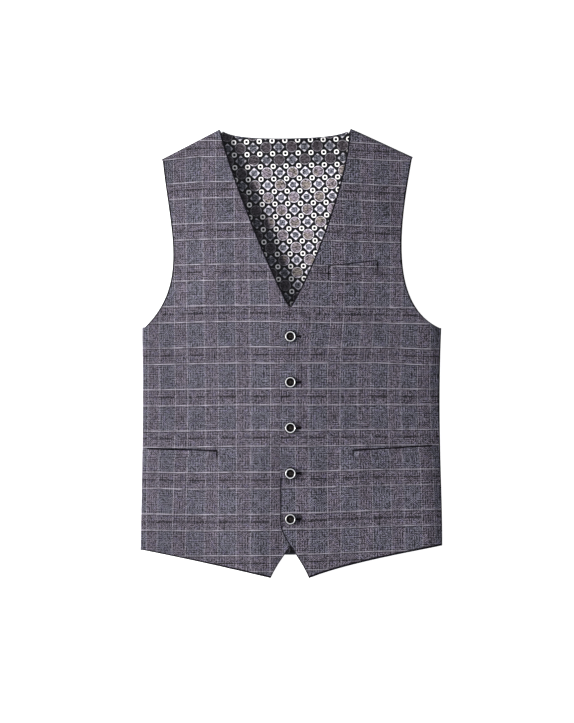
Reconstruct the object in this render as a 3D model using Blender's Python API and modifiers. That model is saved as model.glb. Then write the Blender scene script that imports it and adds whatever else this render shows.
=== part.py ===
"""A suit waistcoat laid flat on its back, buttoned, with its two fronts uppermost.

Frame: metres, +Z up. The back rests on the plane z = 0, the neck points to +Y, and the
origin is under the middle of the whole garment. +X is the wearer's left. Pieces are named
for the wearer's side: the left front, which carries the buttonholes, laps over the right.

Each panel of cloth is a wall. A grid of points is laid over its outline, every point is
lifted to the height at which the cloth lies, and Solidify gives the wall its thickness.
At the sides and the shoulders a front rolls round a fold and ends under the garment, where
the back is sewn to it.
"""

import math

import bpy
from mathutils import Vector
from mathutils.bvhtree import BVHTree

# ---------------------------------------------------------------- cloth and seams
FRONT_WALL = 0.0022  # suiting, canvas and facing, pressed together
BACK_WALL = 0.0012
LINING_WALL = 0.0010
WELT_WALL = 0.0013
SEAM_GAP = 0.0003  # clear space between pieces that are sewn together
SIDE_UNDERLAP = 0.0080  # how far a front reaches in underneath, past its side fold
SHOULDER_UNDERLAP = 0.0006  # the same past its shoulder fold

# ---------------------------------------------------------------- how the cloth lies
FOLD_HEIGHT = 0.0090  # outer height of the rolled side and shoulder folds
HEM_FOLD_HEIGHT = 0.0075  # the side fold is pressed flatter at the hem
HEM_TIP_HEIGHT = 0.0027  # the points of the hem droop to the table
RIDGE_RISE = 0.0110  # how far the buttoned middle stands above the side folds
RIDGE_ROUNDING = 0.08  # share of the half width over which the ridge is rounded
RIDGE_X = -0.0015
HALF_WIDTH = 0.2220  # from the ridge to the start of a side fold
HEM_REACH = 0.060  # distance over which the cloth rises from the hem
HEM_MIDDLE_Y, HEM_SIDE_Y = -0.3366, -0.2900  # the fronts' hem, for judging that distance
SHOULDER_REACH = 0.040  # distance over which it falls to the shoulder fold
V_STAND = 0.0045  # extra height of the neck edges, which stand off the lining
V_STAND_WIDTH = 0.045
LAP_RISE = FRONT_WALL + SEAM_GAP  # the left front climbs over the right by this much
LAP_FLAT = 0.018  # the climb is full up to this distance past the ridge,
LAP_END = 0.080  # and has gone at this one
NECK_RISE = 0.0070  # the back neck arches off the table
NECK_RISE_DEPTH = 0.048
NECK_RISE_HALF_WIDTH = 0.084
ROLL_STEPS = 6  # facets round a rolled fold

# Broad soft folds in the fronts. A negative rise is a trough.
FOLD_COLUMNS = ("x", "y", "turn_deg", "length", "width", "rise")
SOFT_FOLDS = (
    (0.058, -0.190, 84, 0.060, 0.016, -0.0011),
    (0.100, -0.165, 78, 0.050, 0.018, 0.0010),
    (-0.050, -0.215, 96, 0.055, 0.016, -0.0010),
    (-0.105, -0.185, 100, 0.050, 0.020, 0.0008),
    (-0.120, 0.120, 62, 0.070, 0.022, 0.0009),
    (0.125, 0.070, 118, 0.060, 0.020, -0.0008),
    (0.165, -0.060, 90, 0.070, 0.018, 0.0008),
    (-0.170, -0.040, 90, 0.060, 0.018, -0.0008),
)

# ---------------------------------------------------------------- outlines of the fronts
# Each curve is a Bezier: its two ends are points here, and its "pull" is its two handles.
LEFT_FRONT = {
    "side": 1,
    "hem_tip": (0.0262, -0.3366),
    "cutaway_pull": ((0.0123, -0.3020), (-0.0168, -0.2742)),
    "cutaway_top": (-0.0170, -0.2520),
    "v_foot": (-0.0170, 0.0500),
    "v_pull": ((0.0200, 0.0888), (0.0838, 0.2574)),
    "neck_point": (0.0882, 0.3366),
    "shoulder_tip": (0.1820, 0.2953),
    "armhole_pull": ((0.1408, 0.0752), (0.1656, 0.2083)),
    "underarm": (0.2252, 0.0390),
    "side_pull": ((0.2182, -0.1044), (0.2273, -0.2045)),
    "hem_corner": (0.2268, -0.2876),
    "hem_pull": ((0.0720, -0.3175), (0.1581, -0.3000)),
}
RIGHT_FRONT = {
    "side": -1,
    "hem_tip": (-0.0314, -0.3366),
    "cutaway_pull": ((-0.0160, -0.3020), (0.0143, -0.2742)),
    "cutaway_top": (0.0143, -0.2520),
    "v_foot": (0.0143, 0.0465),
    "v_pull": ((-0.0184, 0.0810), (-0.0949, 0.2815)),
    "neck_point": (-0.1075, 0.3366),
    "shoulder_tip": (-0.1950, 0.2920),
    "armhole_pull": ((-0.1526, 0.1061), (-0.1831, 0.1874)),
    "underarm": (-0.2246, 0.0400),
    "side_pull": ((-0.2210, -0.0677), (-0.2250, -0.2089)),
    "hem_corner": (-0.2268, -0.2940),
    "hem_pull": ((-0.0561, -0.3301), (-0.1984, -0.2982)),
}
ROWS_TO_UNDERARM = 18
ROWS_TO_SHOULDER = 15
COLUMNS_ACROSS = 14
CUTAWAY_SHARE = 0.217  # share of the rows below the underarm that the cutaway takes

# ---------------------------------------------------------------- the back
BACK_HEM_MIDDLE_Y = -0.3015
NECK_MIDDLE = (-0.0090, 0.3225)
NECK_PULL = ((-0.0700, 0.3170), (0.0450, 0.3215))
ARMHOLE_SETBACK = 0.0020  # the back's armholes lie this far inside the fronts'
LINING_HEM_SETBACK = 0.0030  # the lining stops this far short of the hem
BACK_COLUMNS = {"shoulder": 5, "neck": 10}
BACK_ROWS = {"body": 10, "armhole": 18}

# ---------------------------------------------------------------- welts and buttons
WELT_COLUMNS = ("name", "front", "inner_x", "outer_x", "inner_top_y", "outer_top_y", "height")
WELTS = (
    ("welt_chest", "front_left", 0.0545, 0.1287, 0.1305, 0.1390, 0.0210),
    ("welt_left", "front_left", 0.0910, 0.2110, -0.1450, -0.1382, 0.0100),
    ("welt_right", "front_right", -0.1113, -0.2165, -0.1455, -0.1428, 0.0100),
)
BUTTON_COUNT = 5
BUTTON_X = -0.0018
TOP_BUTTON_Y = 0.0262
BUTTON_SPACING = 0.0682
BUTTON_RADIUS = 0.0088
BUTTON_THICKNESS = 0.0028
RIM_INNER_RADIUS = 0.0062  # the metal ring lies in a groove between these radii
RIM_OUTER_RADIUS = 0.0081
RIM_HEIGHT = 0.0032
GROOVE_FLOOR = 0.0016
TURNING_STEPS = 20

# ---------------------------------------------------------------- colours
FINISHES = {
    "suiting": ((0.135, 0.125, 0.150), 0.85, 0.0),
    "back_satin": ((0.045, 0.046, 0.058), 0.40, 0.0),
    "lining": ((0.160, 0.150, 0.165), 0.40, 0.0),
    "button": ((0.012, 0.011, 0.012), 0.25, 0.0),
    "button_rim": ((0.780, 0.780, 0.790), 0.22, 1.0),
}


def clear_scene():
    for obj in list(bpy.data.objects):
        bpy.data.objects.remove(obj)


def material(name):
    """One Principled material for each finish, made once."""
    made = bpy.data.materials.get(name)
    if made is None:
        colour, roughness, metallic = FINISHES[name]
        made = bpy.data.materials.new(name)
        made.use_nodes = True
        shader = made.node_tree.nodes["Principled BSDF"]
        shader.inputs["Base Color"].default_value = (*colour, 1.0)
        shader.inputs["Roughness"].default_value = roughness
        shader.inputs["Metallic"].default_value = metallic
    return made


# ---------------------------------------------------------------- plan geometry
def bezier(start, pull, end, share):
    """The point at this share of a Bezier curve in plan."""
    rest = 1 - share
    weights = (rest**3, 3 * rest**2 * share, 3 * rest * share**2, share**3)
    corners = (start, *pull, end)
    return Vector([sum(w * c[axis] for w, c in zip(weights, corners)) for axis in (0, 1)])


def blend(first, second, share):
    return first * (1 - share) + second * share


def smooth_step(value, low, high):
    share = min(1.0, max(0.0, (value - low) / (high - low)))
    return share * share * (3 - 2 * share)


def rise_over(distance, reach):
    """0 at an edge, and near 1 a few reaches away from it."""
    return 1 - math.exp(-max(0.0, distance) / reach)


def shoulder_out(front):
    """The direction, in plan, in which the shoulder fold faces."""
    along = Vector(front["shoulder_tip"]) - Vector(front["neck_point"])
    out = Vector((-along.y, along.x)) * front["side"]
    return out.normalized()


def distance_to_line(x, y, start, end):
    """Distance from a point to the line through two others, in plan."""
    along = (Vector(end) - Vector(start)).normalized()
    offset = Vector((x, y)) - Vector(start)
    return abs(along.x * offset.y - along.y * offset.x)


# ---------------------------------------------------------------- heights of the cloth
def soft_folds(x, y):
    """Sum of the broad folds at a place on the fronts."""
    total = 0.0
    for row in SOFT_FOLDS:
        fold = dict(zip(FOLD_COLUMNS, row))
        turn = math.radians(fold["turn_deg"])
        dx, dy = x - fold["x"], y - fold["y"]
        along = dx * math.cos(turn) + dy * math.sin(turn)
        across = dy * math.cos(turn) - dx * math.sin(turn)
        reach = (along / fold["length"]) ** 2 + (across / fold["width"]) ** 2
        total += fold["rise"] * math.exp(-reach)
    return total


def fold_height(y):
    """Outer height of the side fold, which is flatter near the hem."""
    return HEM_FOLD_HEIGHT + (FOLD_HEIGHT - HEM_FOLD_HEIGHT) * rise_over(y - HEM_SIDE_Y, HEM_REACH)


def front_height(front, x, y):
    """Height of a front's outer face above the table."""
    share = min(1.0, abs(x - RIDGE_X) / HALF_WIDTH)
    above_hem = y - blend(HEM_MIDDLE_Y, HEM_SIDE_Y, share)
    below_shoulder = distance_to_line(x, y, front["neck_point"], front["shoulder_tip"])
    rounded = math.hypot(share, RIDGE_ROUNDING) - RIDGE_ROUNDING
    tent = 1 - rounded / (math.hypot(1, RIDGE_ROUNDING) - RIDGE_ROUNDING)
    from_edges = rise_over(above_hem, HEM_REACH) * rise_over(below_shoulder, SHOULDER_REACH)
    droop = HEM_TIP_HEIGHT - HEM_FOLD_HEIGHT
    droop *= (1 - smooth_step(share, 0.35, 0.95)) * math.exp(-above_hem / HEM_REACH)
    neck_edge = v_edge_x(front, y)
    beside_v = max(0.0, (x - neck_edge) * front["side"])
    stand = V_STAND * math.exp(-((beside_v / V_STAND_WIDTH) ** 2))
    stand *= smooth_step(y, 0.060, 0.190) * rise_over(below_shoulder, SHOULDER_REACH)
    height = fold_height(y) + RIDGE_RISE * tent * from_edges + droop + stand
    height += soft_folds(x, y) * from_edges * (1 - smooth_step(share, 0.85, 1.0))
    if front["side"] > 0:
        height += LAP_RISE * (1 - smooth_step(x - RIDGE_X, LAP_FLAT, LAP_END))
    return height


def v_edge_x(front, y):
    """Where the neck edge of a front is at this y, taken as a straight line."""
    foot, neck = front["v_foot"], front["neck_point"]
    share = min(1.0, max(0.0, (y - foot[1]) / (neck[1] - foot[1])))
    return foot[0] + (neck[0] - foot[0]) * share


def neck_arch(x, y):
    """How far the back neck stands off the table."""
    across = (x - NECK_MIDDLE[0]) / NECK_RISE_HALF_WIDTH
    up = (y - NECK_MIDDLE[1]) / NECK_RISE_DEPTH + 1
    if abs(across) >= 1 or up <= 0:
        return 0.0
    return NECK_RISE * min(up, 1.3) ** 2 * (1 - across**2) ** 2


# ---------------------------------------------------------------- building walls
def build_wall(name, points, faces, thickness, finish):
    """An object whose faces are thickened inwards, away from the side they face."""
    mesh = bpy.data.meshes.new(name)
    mesh.from_pydata(points, [], faces)
    mesh.materials.append(material(finish))
    obj = bpy.data.objects.new(name, mesh)
    garment.objects.link(obj)
    wall = obj.modifiers.new("wall", "SOLIDIFY")
    wall.thickness = thickness
    wall.offset = -1
    wall.use_even_offset = True
    mesh.shade_smooth()
    mesh.set_sharp_from_angle(angle=math.radians(40))
    return obj


def grid_faces(grid):
    """Two triangles for every cell of {(column, row): point} whose four corners exist."""
    index = {cell: n for n, cell in enumerate(grid)}
    faces = []
    for column, row in grid:
        corners = [(column, row), (column + 1, row), (column + 1, row + 1), (column, row + 1)]
        if all(corner in index for corner in corners):
            a, b, c, d = (index[corner] for corner in corners)
            faces += [(a, b, c), (a, c, d)]
    return faces


def wall_from_grid(name, grid, thickness, finish, flip=False):
    """A wall under the grid. All walls split their cells along the same diagonal."""
    faces = [face[::-1] if flip else face for face in grid_faces(grid)]
    return build_wall(name, list(grid.values()), faces, thickness, finish)


def surface_finder(grid):
    """A function that gives the height of a grid's own surface at a place in plan."""
    tree = BVHTree.FromPolygons([Vector(point) for point in grid.values()], grid_faces(grid))

    def height_at(x, y):
        return tree.ray_cast(Vector((x, y, 1.0)), Vector((0, 0, -1)))[0].z

    return height_at


# ---------------------------------------------------------------- fronts
def front_edge(front, level):
    """The buttoned edge and neck edge: level 0 at the hem, 1 at the V's foot, 2 at the neck."""
    if level > 1:
        inset = Vector(front["neck_point"]) - shoulder_out(front) * FOLD_HEIGHT / 2
        return bezier(front["v_foot"], front["v_pull"], inset, level - 1)
    if level < CUTAWAY_SHARE:
        share = level / CUTAWAY_SHARE
        return bezier(front["hem_tip"], front["cutaway_pull"], front["cutaway_top"], share)
    share = (level - CUTAWAY_SHARE) / (1 - CUTAWAY_SHARE)
    return blend(Vector(front["cutaway_top"]), Vector(front["v_foot"]), share)


def side_edge(front, level):
    """Where the side fold starts, up to level 1, and the armhole above it."""
    underarm = Vector(front["underarm"])
    underarm.x -= front["side"] * FOLD_HEIGHT / 2
    if level > 1:
        inset = Vector(front["shoulder_tip"]) - shoulder_out(front) * FOLD_HEIGHT / 2
        return bezier(underarm, front["armhole_pull"], inset, level - 1)
    edge = bezier(front["hem_corner"], front["side_pull"][::-1], front["underarm"], level)
    edge.x -= front["side"] * fold_height(edge.y) / 2
    return edge


def front_place(front, share, level):
    """Plan position of a point: share 0 at the buttoned edge, 1 at the side."""
    start, end = front_edge(front, level), side_edge(front, level)
    place = blend(start, end, share)
    if level < 1:
        hem_start, hem_end = front_edge(front, 0), side_edge(front, 0)
        hem = bezier(hem_start, front["hem_pull"], hem_end, share)
        place += (hem - blend(hem_start, hem_end, share)) * (1 - level)
    return place


def roll_profile(height, underlap):
    """(distance out, height) of each step round a rolled fold and in underneath."""
    radius = height / 2
    for step in range(1, ROLL_STEPS + 1):
        turn = math.pi * step / ROLL_STEPS
        yield radius * math.sin(turn), radius * (1 + math.cos(turn))
    yield -underlap, 0.0


def front_grid(front):
    """The outer face of a front: the panel, its side fold and its shoulder fold."""
    grid = {}
    last_row = ROWS_TO_UNDERARM + ROWS_TO_SHOULDER
    side_way = Vector((front["side"], 0))
    for row in range(last_row + 1):
        low = row <= ROWS_TO_UNDERARM
        level = row / ROWS_TO_UNDERARM if low else 1 + (row - ROWS_TO_UNDERARM) / ROWS_TO_SHOULDER
        for column in range(COLUMNS_ACROSS + 1):
            place = front_place(front, column / COLUMNS_ACROSS, level)
            grid[column, row] = (*place, front_height(front, *place))
        if low:
            start = front_place(front, 1, level)
            profile = roll_profile(front_height(front, *start), SIDE_UNDERLAP)
            for step, (out, height) in enumerate(profile, 1):
                grid[COLUMNS_ACROSS + step, row] = (*(start + side_way * out), height)
    for column in range(COLUMNS_ACROSS + 1):
        start = front_place(front, column / COLUMNS_ACROSS, 2)
        profile = roll_profile(front_height(front, *start), SHOULDER_UNDERLAP)
        for step, (out, height) in enumerate(profile, 1):
            grid[column, last_row + step] = (*(start + shoulder_out(front) * out), height)
    return grid


def make_front(name, front):
    """Builds a front, and gives the height of its outer face for what lies on it."""
    grid = front_grid(front)
    wall_from_grid(name, grid, FRONT_WALL, "suiting", flip=front["side"] < 0)
    return surface_finder(grid)


# ---------------------------------------------------------------- back and lining
def seam_side(front, y_share):
    """The back's side seam, from the hem (0) to the underarm (1)."""
    edge = side_edge(front, y_share)
    edge.x -= front["side"] * (SIDE_UNDERLAP + SEAM_GAP)
    return edge


def seam_shoulder(front, share):
    """The back's shoulder seam, from the neck (0) to the armhole (1)."""
    inset = shoulder_out(front) * (FOLD_HEIGHT / 2 + SHOULDER_UNDERLAP + SEAM_GAP)
    line = blend(Vector(front["neck_point"]), Vector(front["shoulder_tip"]), share)
    return line - inset


def back_side(front, level):
    """The back's side seam up to level 1, and its armhole above it."""
    if level <= 1:
        return seam_side(front, level)
    inward = Vector((-front["side"] * ARMHOLE_SETBACK, 0))
    pull = [Vector(point) + inward for point in front["armhole_pull"]]
    return bezier(seam_side(front, 1), pull, seam_shoulder(front, 1) + inward, level - 1)


def neckline(share):
    """The back neck, a shallow curve between the two shoulder seams."""
    return bezier(seam_shoulder(RIGHT_FRONT, 0), NECK_PULL, seam_shoulder(LEFT_FRONT, 0), share)


def back_top(share):
    """The shoulder seams and the neckline between them, from the wearer's right to left."""
    shoulder = BACK_COLUMNS["shoulder"] / (2 * BACK_COLUMNS["shoulder"] + BACK_COLUMNS["neck"])
    if share < shoulder:
        return blend(back_side(RIGHT_FRONT, 2), neckline(0), share / shoulder)
    if share > 1 - shoulder:
        return blend(neckline(1), back_side(LEFT_FRONT, 2), (share - 1 + shoulder) / shoulder)
    return neckline((share - shoulder) / (1 - 2 * shoulder))


def back_hem(share):
    chord = blend(back_side(RIGHT_FRONT, 0), back_side(LEFT_FRONT, 0), share)
    chord.y += (BACK_HEM_MIDDLE_Y - chord.y) * 4 * share * (1 - share)
    return chord


def back_place(share, level):
    """Plan position of a point of the back: share 0 at the wearer's right, 1 at the left."""
    place = blend(back_side(RIGHT_FRONT, level), back_side(LEFT_FRONT, level), share)
    ends = ((back_hem(share), 0, (1 - level / 2) ** 3), (back_top(share), 2, (level / 2) ** 3))
    for edge, end_level, nearness in ends:
        chord = blend(back_side(RIGHT_FRONT, end_level), back_side(LEFT_FRONT, end_level), share)
        place += (edge - chord) * nearness
    return place


def back_grid(base, hem_setback=0.0):
    """A face of the back at this height over the table, arched at the neck."""
    columns = 2 * BACK_COLUMNS["shoulder"] + BACK_COLUMNS["neck"]
    grid = {}
    for row in range(BACK_ROWS["body"] + BACK_ROWS["armhole"] + 1):
        low = row <= BACK_ROWS["body"]
        above = (row - BACK_ROWS["body"]) / BACK_ROWS["armhole"]
        level = row / BACK_ROWS["body"] if low else 1 + above
        for column in range(columns + 1):
            place = back_place(column / columns, level)
            if row == 0:
                place.y += hem_setback
            grid[column, row] = (*place, base + neck_arch(*place))
    return grid


def make_back():
    wall_from_grid("back", back_grid(0.0), BACK_WALL, "back_satin", flip=True)


def make_lining():
    """The lining is made from the back's own points, moved up."""
    base = BACK_WALL + SEAM_GAP + LINING_WALL
    wall_from_grid("back_lining", back_grid(base, LINING_HEM_SETBACK), LINING_WALL, "lining")


# ---------------------------------------------------------------- welts
def make_welt(row, height_at):
    """A pocket welt: a strip made from the front's surface under it, moved out."""
    welt = dict(zip(WELT_COLUMNS, row))
    columns, rows = 12, 3
    grid = {}
    for i in range(columns + 1):
        share = i / columns
        x = welt["inner_x"] + (welt["outer_x"] - welt["inner_x"]) * share
        top = welt["inner_top_y"] + (welt["outer_top_y"] - welt["inner_top_y"]) * share
        for j in range(rows + 1):
            y = top - welt["height"] * (1 - j / rows)
            lift = SEAM_GAP + WELT_WALL
            grid[i, j] = (x, y, height_at[welt["front"]](x, y) + lift)
    flip = welt["front"] == "front_right"
    wall_from_grid(welt["name"], grid, WELT_WALL, "suiting", flip)


# ---------------------------------------------------------------- buttons
def seat_on(height_at, x, y, radius):
    """Where a flat disc of this radius rests on the cloth: its place, and its tilt about x."""
    ring = [math.tau * n / 16 for n in range(16)]
    spots = [(0.0, 0.0)] + [(radius * math.cos(a), radius * math.sin(a)) for a in ring]
    slope = (height_at(x, y + radius) - height_at(x, y - radius)) / (2 * radius)
    seat = max(height_at(x + dx, y + dy) - slope * dy for dx, dy in spots)
    return (x, y, seat + SEAM_GAP), math.atan(slope)


def turned(name, profile, place, tilt, finish):
    """A shape turned about an upright axis from (radius, height) points, then tilted."""
    mesh = bpy.data.meshes.new(name)
    closed_loop = profile[0][0] > 0
    edges = [(n, n + 1) for n in range(len(profile) - 1)]
    if closed_loop:
        edges.append((len(profile) - 1, 0))
    mesh.from_pydata([(radius, 0, height) for radius, height in profile], edges, [])
    mesh.materials.append(material(finish))
    obj = bpy.data.objects.new(name, mesh)
    obj.location = place
    obj.rotation_euler = (tilt, 0, 0)
    garment.objects.link(obj)
    screw = obj.modifiers.new("turn", "SCREW")
    screw.steps = screw.render_steps = TURNING_STEPS
    screw.use_merge_vertices = True
    screw.merge_threshold = 0.00001
    screw.use_smooth_shade = True
    return obj


def button_profile():
    """The dished button, from the middle of its top, out over its edge, to its underside."""
    lip = RIM_INNER_RADIUS - SEAM_GAP
    return [
        (0.0, BUTTON_THICKNESS * 0.70),
        (lip * 0.55, BUTTON_THICKNESS * 0.72),
        (lip, BUTTON_THICKNESS),
        (lip, GROOVE_FLOOR),
        (RIM_OUTER_RADIUS + SEAM_GAP, GROOVE_FLOOR),
        (BUTTON_RADIUS, GROOVE_FLOOR * 0.8),
        (BUTTON_RADIUS * 0.88, 0.0),
        (0.0, 0.0),
    ]


def rim_profile():
    """The metal ring: a low hoop that is rounded on top."""
    base = GROOVE_FLOOR + SEAM_GAP
    width = RIM_OUTER_RADIUS - RIM_INNER_RADIUS
    return [
        (RIM_INNER_RADIUS, base),
        (RIM_INNER_RADIUS, RIM_HEIGHT * 0.88),
        (RIM_INNER_RADIUS + width * 0.35, RIM_HEIGHT),
        (RIM_OUTER_RADIUS - width * 0.35, RIM_HEIGHT),
        (RIM_OUTER_RADIUS, RIM_HEIGHT * 0.85),
        (RIM_OUTER_RADIUS, base),
    ]


def make_buttons(height_at):
    for number in range(1, BUTTON_COUNT + 1):
        y = TOP_BUTTON_Y - BUTTON_SPACING * (number - 1)
        place, tilt = seat_on(height_at, BUTTON_X, y, BUTTON_RADIUS)
        turned(f"button_{number}", button_profile(), place, tilt, "button")
        turned(f"button_rim_{number}", rim_profile(), place, tilt, "button_rim")


clear_scene()
garment = bpy.data.collections.new("suit_waistcoat")
bpy.context.scene.collection.children.link(garment)
make_back()
make_lining()
surfaces = {
    "front_right": make_front("front_right", RIGHT_FRONT),
    "front_left": make_front("front_left", LEFT_FRONT),
}
for welt_row in WELTS:
    make_welt(welt_row, surfaces)
make_buttons(surfaces["front_left"])
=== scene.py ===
# %% [markdown]
# # A suit waistcoat, laid flat
#
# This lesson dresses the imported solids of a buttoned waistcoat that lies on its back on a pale
# table. The solids hold the true sizes. Here every panel gets its own cloth: finer rolls at the
# sides and shoulders, soft creases, a woven check, a printed satin lining, turned buttons and
# stitched buttonholes. All lengths are in metres, +Z is up out of the fronts, +Y runs from the
# hem to the neck, and +X is the wearer's left.

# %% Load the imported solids
import math

import bpy
import numpy as np
from mathutils import Matrix, Vector


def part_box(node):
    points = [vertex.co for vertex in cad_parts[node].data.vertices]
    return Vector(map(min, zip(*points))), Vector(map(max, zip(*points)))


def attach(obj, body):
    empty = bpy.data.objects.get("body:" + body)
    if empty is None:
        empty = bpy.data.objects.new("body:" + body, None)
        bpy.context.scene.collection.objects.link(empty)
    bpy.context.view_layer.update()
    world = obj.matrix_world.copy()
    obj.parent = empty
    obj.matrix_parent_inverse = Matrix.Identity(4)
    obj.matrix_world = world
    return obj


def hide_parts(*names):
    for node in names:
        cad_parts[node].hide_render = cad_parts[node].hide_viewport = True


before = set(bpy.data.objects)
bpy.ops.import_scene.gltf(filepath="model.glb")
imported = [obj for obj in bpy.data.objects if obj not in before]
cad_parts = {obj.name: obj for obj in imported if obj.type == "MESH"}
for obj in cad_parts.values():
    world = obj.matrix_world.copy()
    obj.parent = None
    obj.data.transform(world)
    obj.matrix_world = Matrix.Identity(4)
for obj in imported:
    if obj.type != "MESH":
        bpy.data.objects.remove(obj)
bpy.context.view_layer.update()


def add_object(name, data):
    """A new object in the scene."""
    obj = bpy.data.objects.new(name, data)
    bpy.context.scene.collection.objects.link(obj)
    return obj


# %% [markdown]
# ## Where the eye is
#
# A garment laid out for a catalogue is seen from straight above, from far enough away that its
# sides are not foreshortened. The lens is worked out from how much of the table the picture's
# height takes in, at the level of the cloth.

# %% Camera
EYE_HEIGHT = 3.0
EYE_OVER = (-0.00675, -0.01125)
CLOTH_LEVEL = 0.005
TABLE_IN_VIEW = 1.0845  # metres of table from the top of the picture to its foot
SENSOR = 36.0

camera = add_object("camera", bpy.data.cameras.new("camera"))
camera.data.sensor_width = SENSOR  # Blender lays this along the picture's longer side
camera.data.lens = SENSOR * (EYE_HEIGHT - CLOTH_LEVEL) / TABLE_IN_VIEW
camera.location = (*EYE_OVER, EYE_HEIGHT)
bpy.context.scene.camera = camera
print("lens, mm:", round(camera.data.lens, 1))

# %% [markdown]
# ## A short way to write a finish
#
# A finish is a tree of nodes. Written out node by node, the arithmetic of a woven check would
# hide behind its own wiring. So a `Wire` stands for what comes out of a node, and Python's own
# operators add the Math nodes: `1 - wire * 2` makes two of them.


# %% Wires and finishes
class Wire:
    """A value inside a finish. Its operators, and the methods in MATHS, each add a Math node."""

    def __init__(self, finish, socket):
        self.finish, self.socket = finish, socket

    def maths(self, operation, *values):
        inputs = dict(enumerate(values))
        return self.finish.node("ShaderNodeMath", {"operation": operation}, inputs)

    def __rsub__(self, other):
        return self.maths("SUBTRACT", other, self)

    def ease(self, start, end):
        """0 before start, 1 after end, and a smooth climb between. Start may be the larger."""
        settings = {"interpolation_type": "SMOOTHSTEP"}
        low, high = sorted((start, end))
        inputs = {"Value": self, "From Min": low, "From Max": high}
        climb = self.finish.node("ShaderNodeMapRange", settings, inputs)
        return climb if start < end else 1 - climb

    def towards(self, other, share):
        return self + (other - self) * share

    def band(self, half_width, soft):
        """1 within half a width of 0, fading to 0 over a soft edge."""
        return self.size().ease(half_width + soft, half_width - soft)


MATHS = {
    "__add__": "ADD",
    "__radd__": "ADD",
    "__sub__": "SUBTRACT",
    "__mul__": "MULTIPLY",
    "__rmul__": "MULTIPLY",
    "__truediv__": "DIVIDE",
    "__pow__": "POWER",
    "least": "MINIMUM",
    "most": "MAXIMUM",
    "size": "ABSOLUTE",
    "whole": "FLOOR",
    "part": "FRACT",  # what is left past the last whole number
    "wave": "SINE",
}


def maths_method(operation):
    return lambda wire, *others: wire.maths(operation, wire, *others)


for method, operation in MATHS.items():
    setattr(Wire, method, maths_method(operation))


class Finish:
    """A material made of nodes."""

    def __init__(self, name, **constants):
        self.material = bpy.data.materials.new(name)
        self.material.use_nodes = True
        self.tree = self.material.node_tree
        self.shader = self.tree.nodes["Principled BSDF"]
        for socket, value in constants.items():
            self.shader.inputs[socket.replace("_", " ")].default_value = value

    def node(self, kind, settings=None, inputs=None, output=0):
        made = self.tree.nodes.new(kind)
        for name, value in (settings or {}).items():
            setattr(made, name, value)
        for name, value in (inputs or {}).items():
            self.feed(made.inputs[name], value)
        return Wire(self, made.outputs[output])

    def feed(self, socket, value):
        if isinstance(value, Wire):
            self.tree.links.new(value.socket, socket)
        else:
            socket.default_value = value

    def set(self, **sockets):
        for name, value in sockets.items():
            self.feed(self.shader.inputs[name.replace("_", " ")], value)

    def split(self, vector):
        return [self.node("ShaderNodeSeparateXYZ", {}, {0: vector}, n) for n in range(3)]

    def cloth_place(self):
        """Where a point lies on the flat cloth, in metres across and along."""
        return self.split(self.node("ShaderNodeUVMap", {"uv_map": "cloth"}))[:2]

    def solid_place(self):
        """Where a point lies in the garment, in metres."""
        return self.split(self.node("ShaderNodeTexCoord", output=3))

    def vector(self, x, y, z=0.0):
        return self.node("ShaderNodeCombineXYZ", {}, {0: x, 1: y, 2: z})

    def noise(self, x, y, z=0.0, detail=2.0):
        """Cloudy noise from 0 to 1, of size 1 in the units of x, y and z."""
        inputs = {"Vector": self.vector(x, y, z), "Scale": 1.0, "Detail": detail, "Roughness": 0.5}
        return self.node("ShaderNodeTexNoise", {"noise_dimensions": "3D"}, inputs)

    def chance(self, x, y, z=0.0):
        """A number from 0 to 1 that is drawn anew for every whole x, y and z."""
        settings, inputs = {"noise_dimensions": "3D"}, {"Vector": self.vector(x, y, z)}
        return self.node("ShaderNodeTexWhiteNoise", settings, inputs)

    def mix(self, share, first, second):
        """A colour between two colours."""
        return self.node("ShaderNodeMix", {"data_type": "RGBA"}, {0: share, 6: first, 7: second}, 2)

    def times(self, colour, number):
        """A colour made brighter or darker."""
        settings, inputs = {"operation": "SCALE"}, {0: colour, "Scale": number}
        return self.node("ShaderNodeVectorMath", settings, inputs)

    def bump(self, height, distance, strength):
        inputs = {"Height": height, "Distance": distance, "Strength": strength}
        return self.node("ShaderNodeBump", {}, inputs)


def rgb(red, green, blue):
    """A colour given as it looks on a screen, 0 to 255, turned into light."""
    shown = [value / 255 for value in (red, green, blue)]
    light = [v / 12.92 if v < 0.04045 else ((v + 0.055) / 1.055) ** 2.4 for v in shown]
    return (*light, 1.0)


# %% [markdown]
# ## Light and table
#
# Two soft lamps stand on the wearer's right, one above the other. The main lamp throws short
# shadows under the neck edges. The skimming lamp grazes the cloth: the two fronts slope away
# from the buttons by only three degrees, and it makes one front clearly brighter than the
# other. The sky is dim at its rim and bright overhead, so that metal which faces up shines. The
# table glows a little itself, as a lit table does, and stays pale beside the shadows.

# %% Lamps, sky and table
LAMPS = (  # name, azimuth and elevation in degrees, distance, size, watts
    ("main lamp", 179, 27, 4.5, 1.1, 374.0),
    ("skimming lamp", 181, 12, 4.5, 2.2, 490.0),
)
SKY_RIM, SKY_OVERHEAD, SKY_FOCUS = 0.17, 2.90, 24
TABLE_WHITE, TABLE_GLOW = 0.60, 0.92
TABLE_SIZE, TABLE_LEVEL = 8.0, -0.0004


def hang_lamp(name, azimuth, elevation, distance, size, watts):
    """A square lamp at this bearing from the garment's middle, turned to face it."""
    turn, rise = math.radians(azimuth), math.radians(elevation)
    way = Vector((math.cos(turn) * math.cos(rise), math.sin(turn) * math.cos(rise), math.sin(rise)))
    lamp = add_object(name, bpy.data.lights.new(name, "AREA"))
    lamp.data.size = size
    lamp.data.energy = watts
    lamp.location = way * distance
    lamp.rotation_euler = way.to_track_quat("Z", "Y").to_euler()


for lamp_row in LAMPS:
    hang_lamp(*lamp_row)


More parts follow.
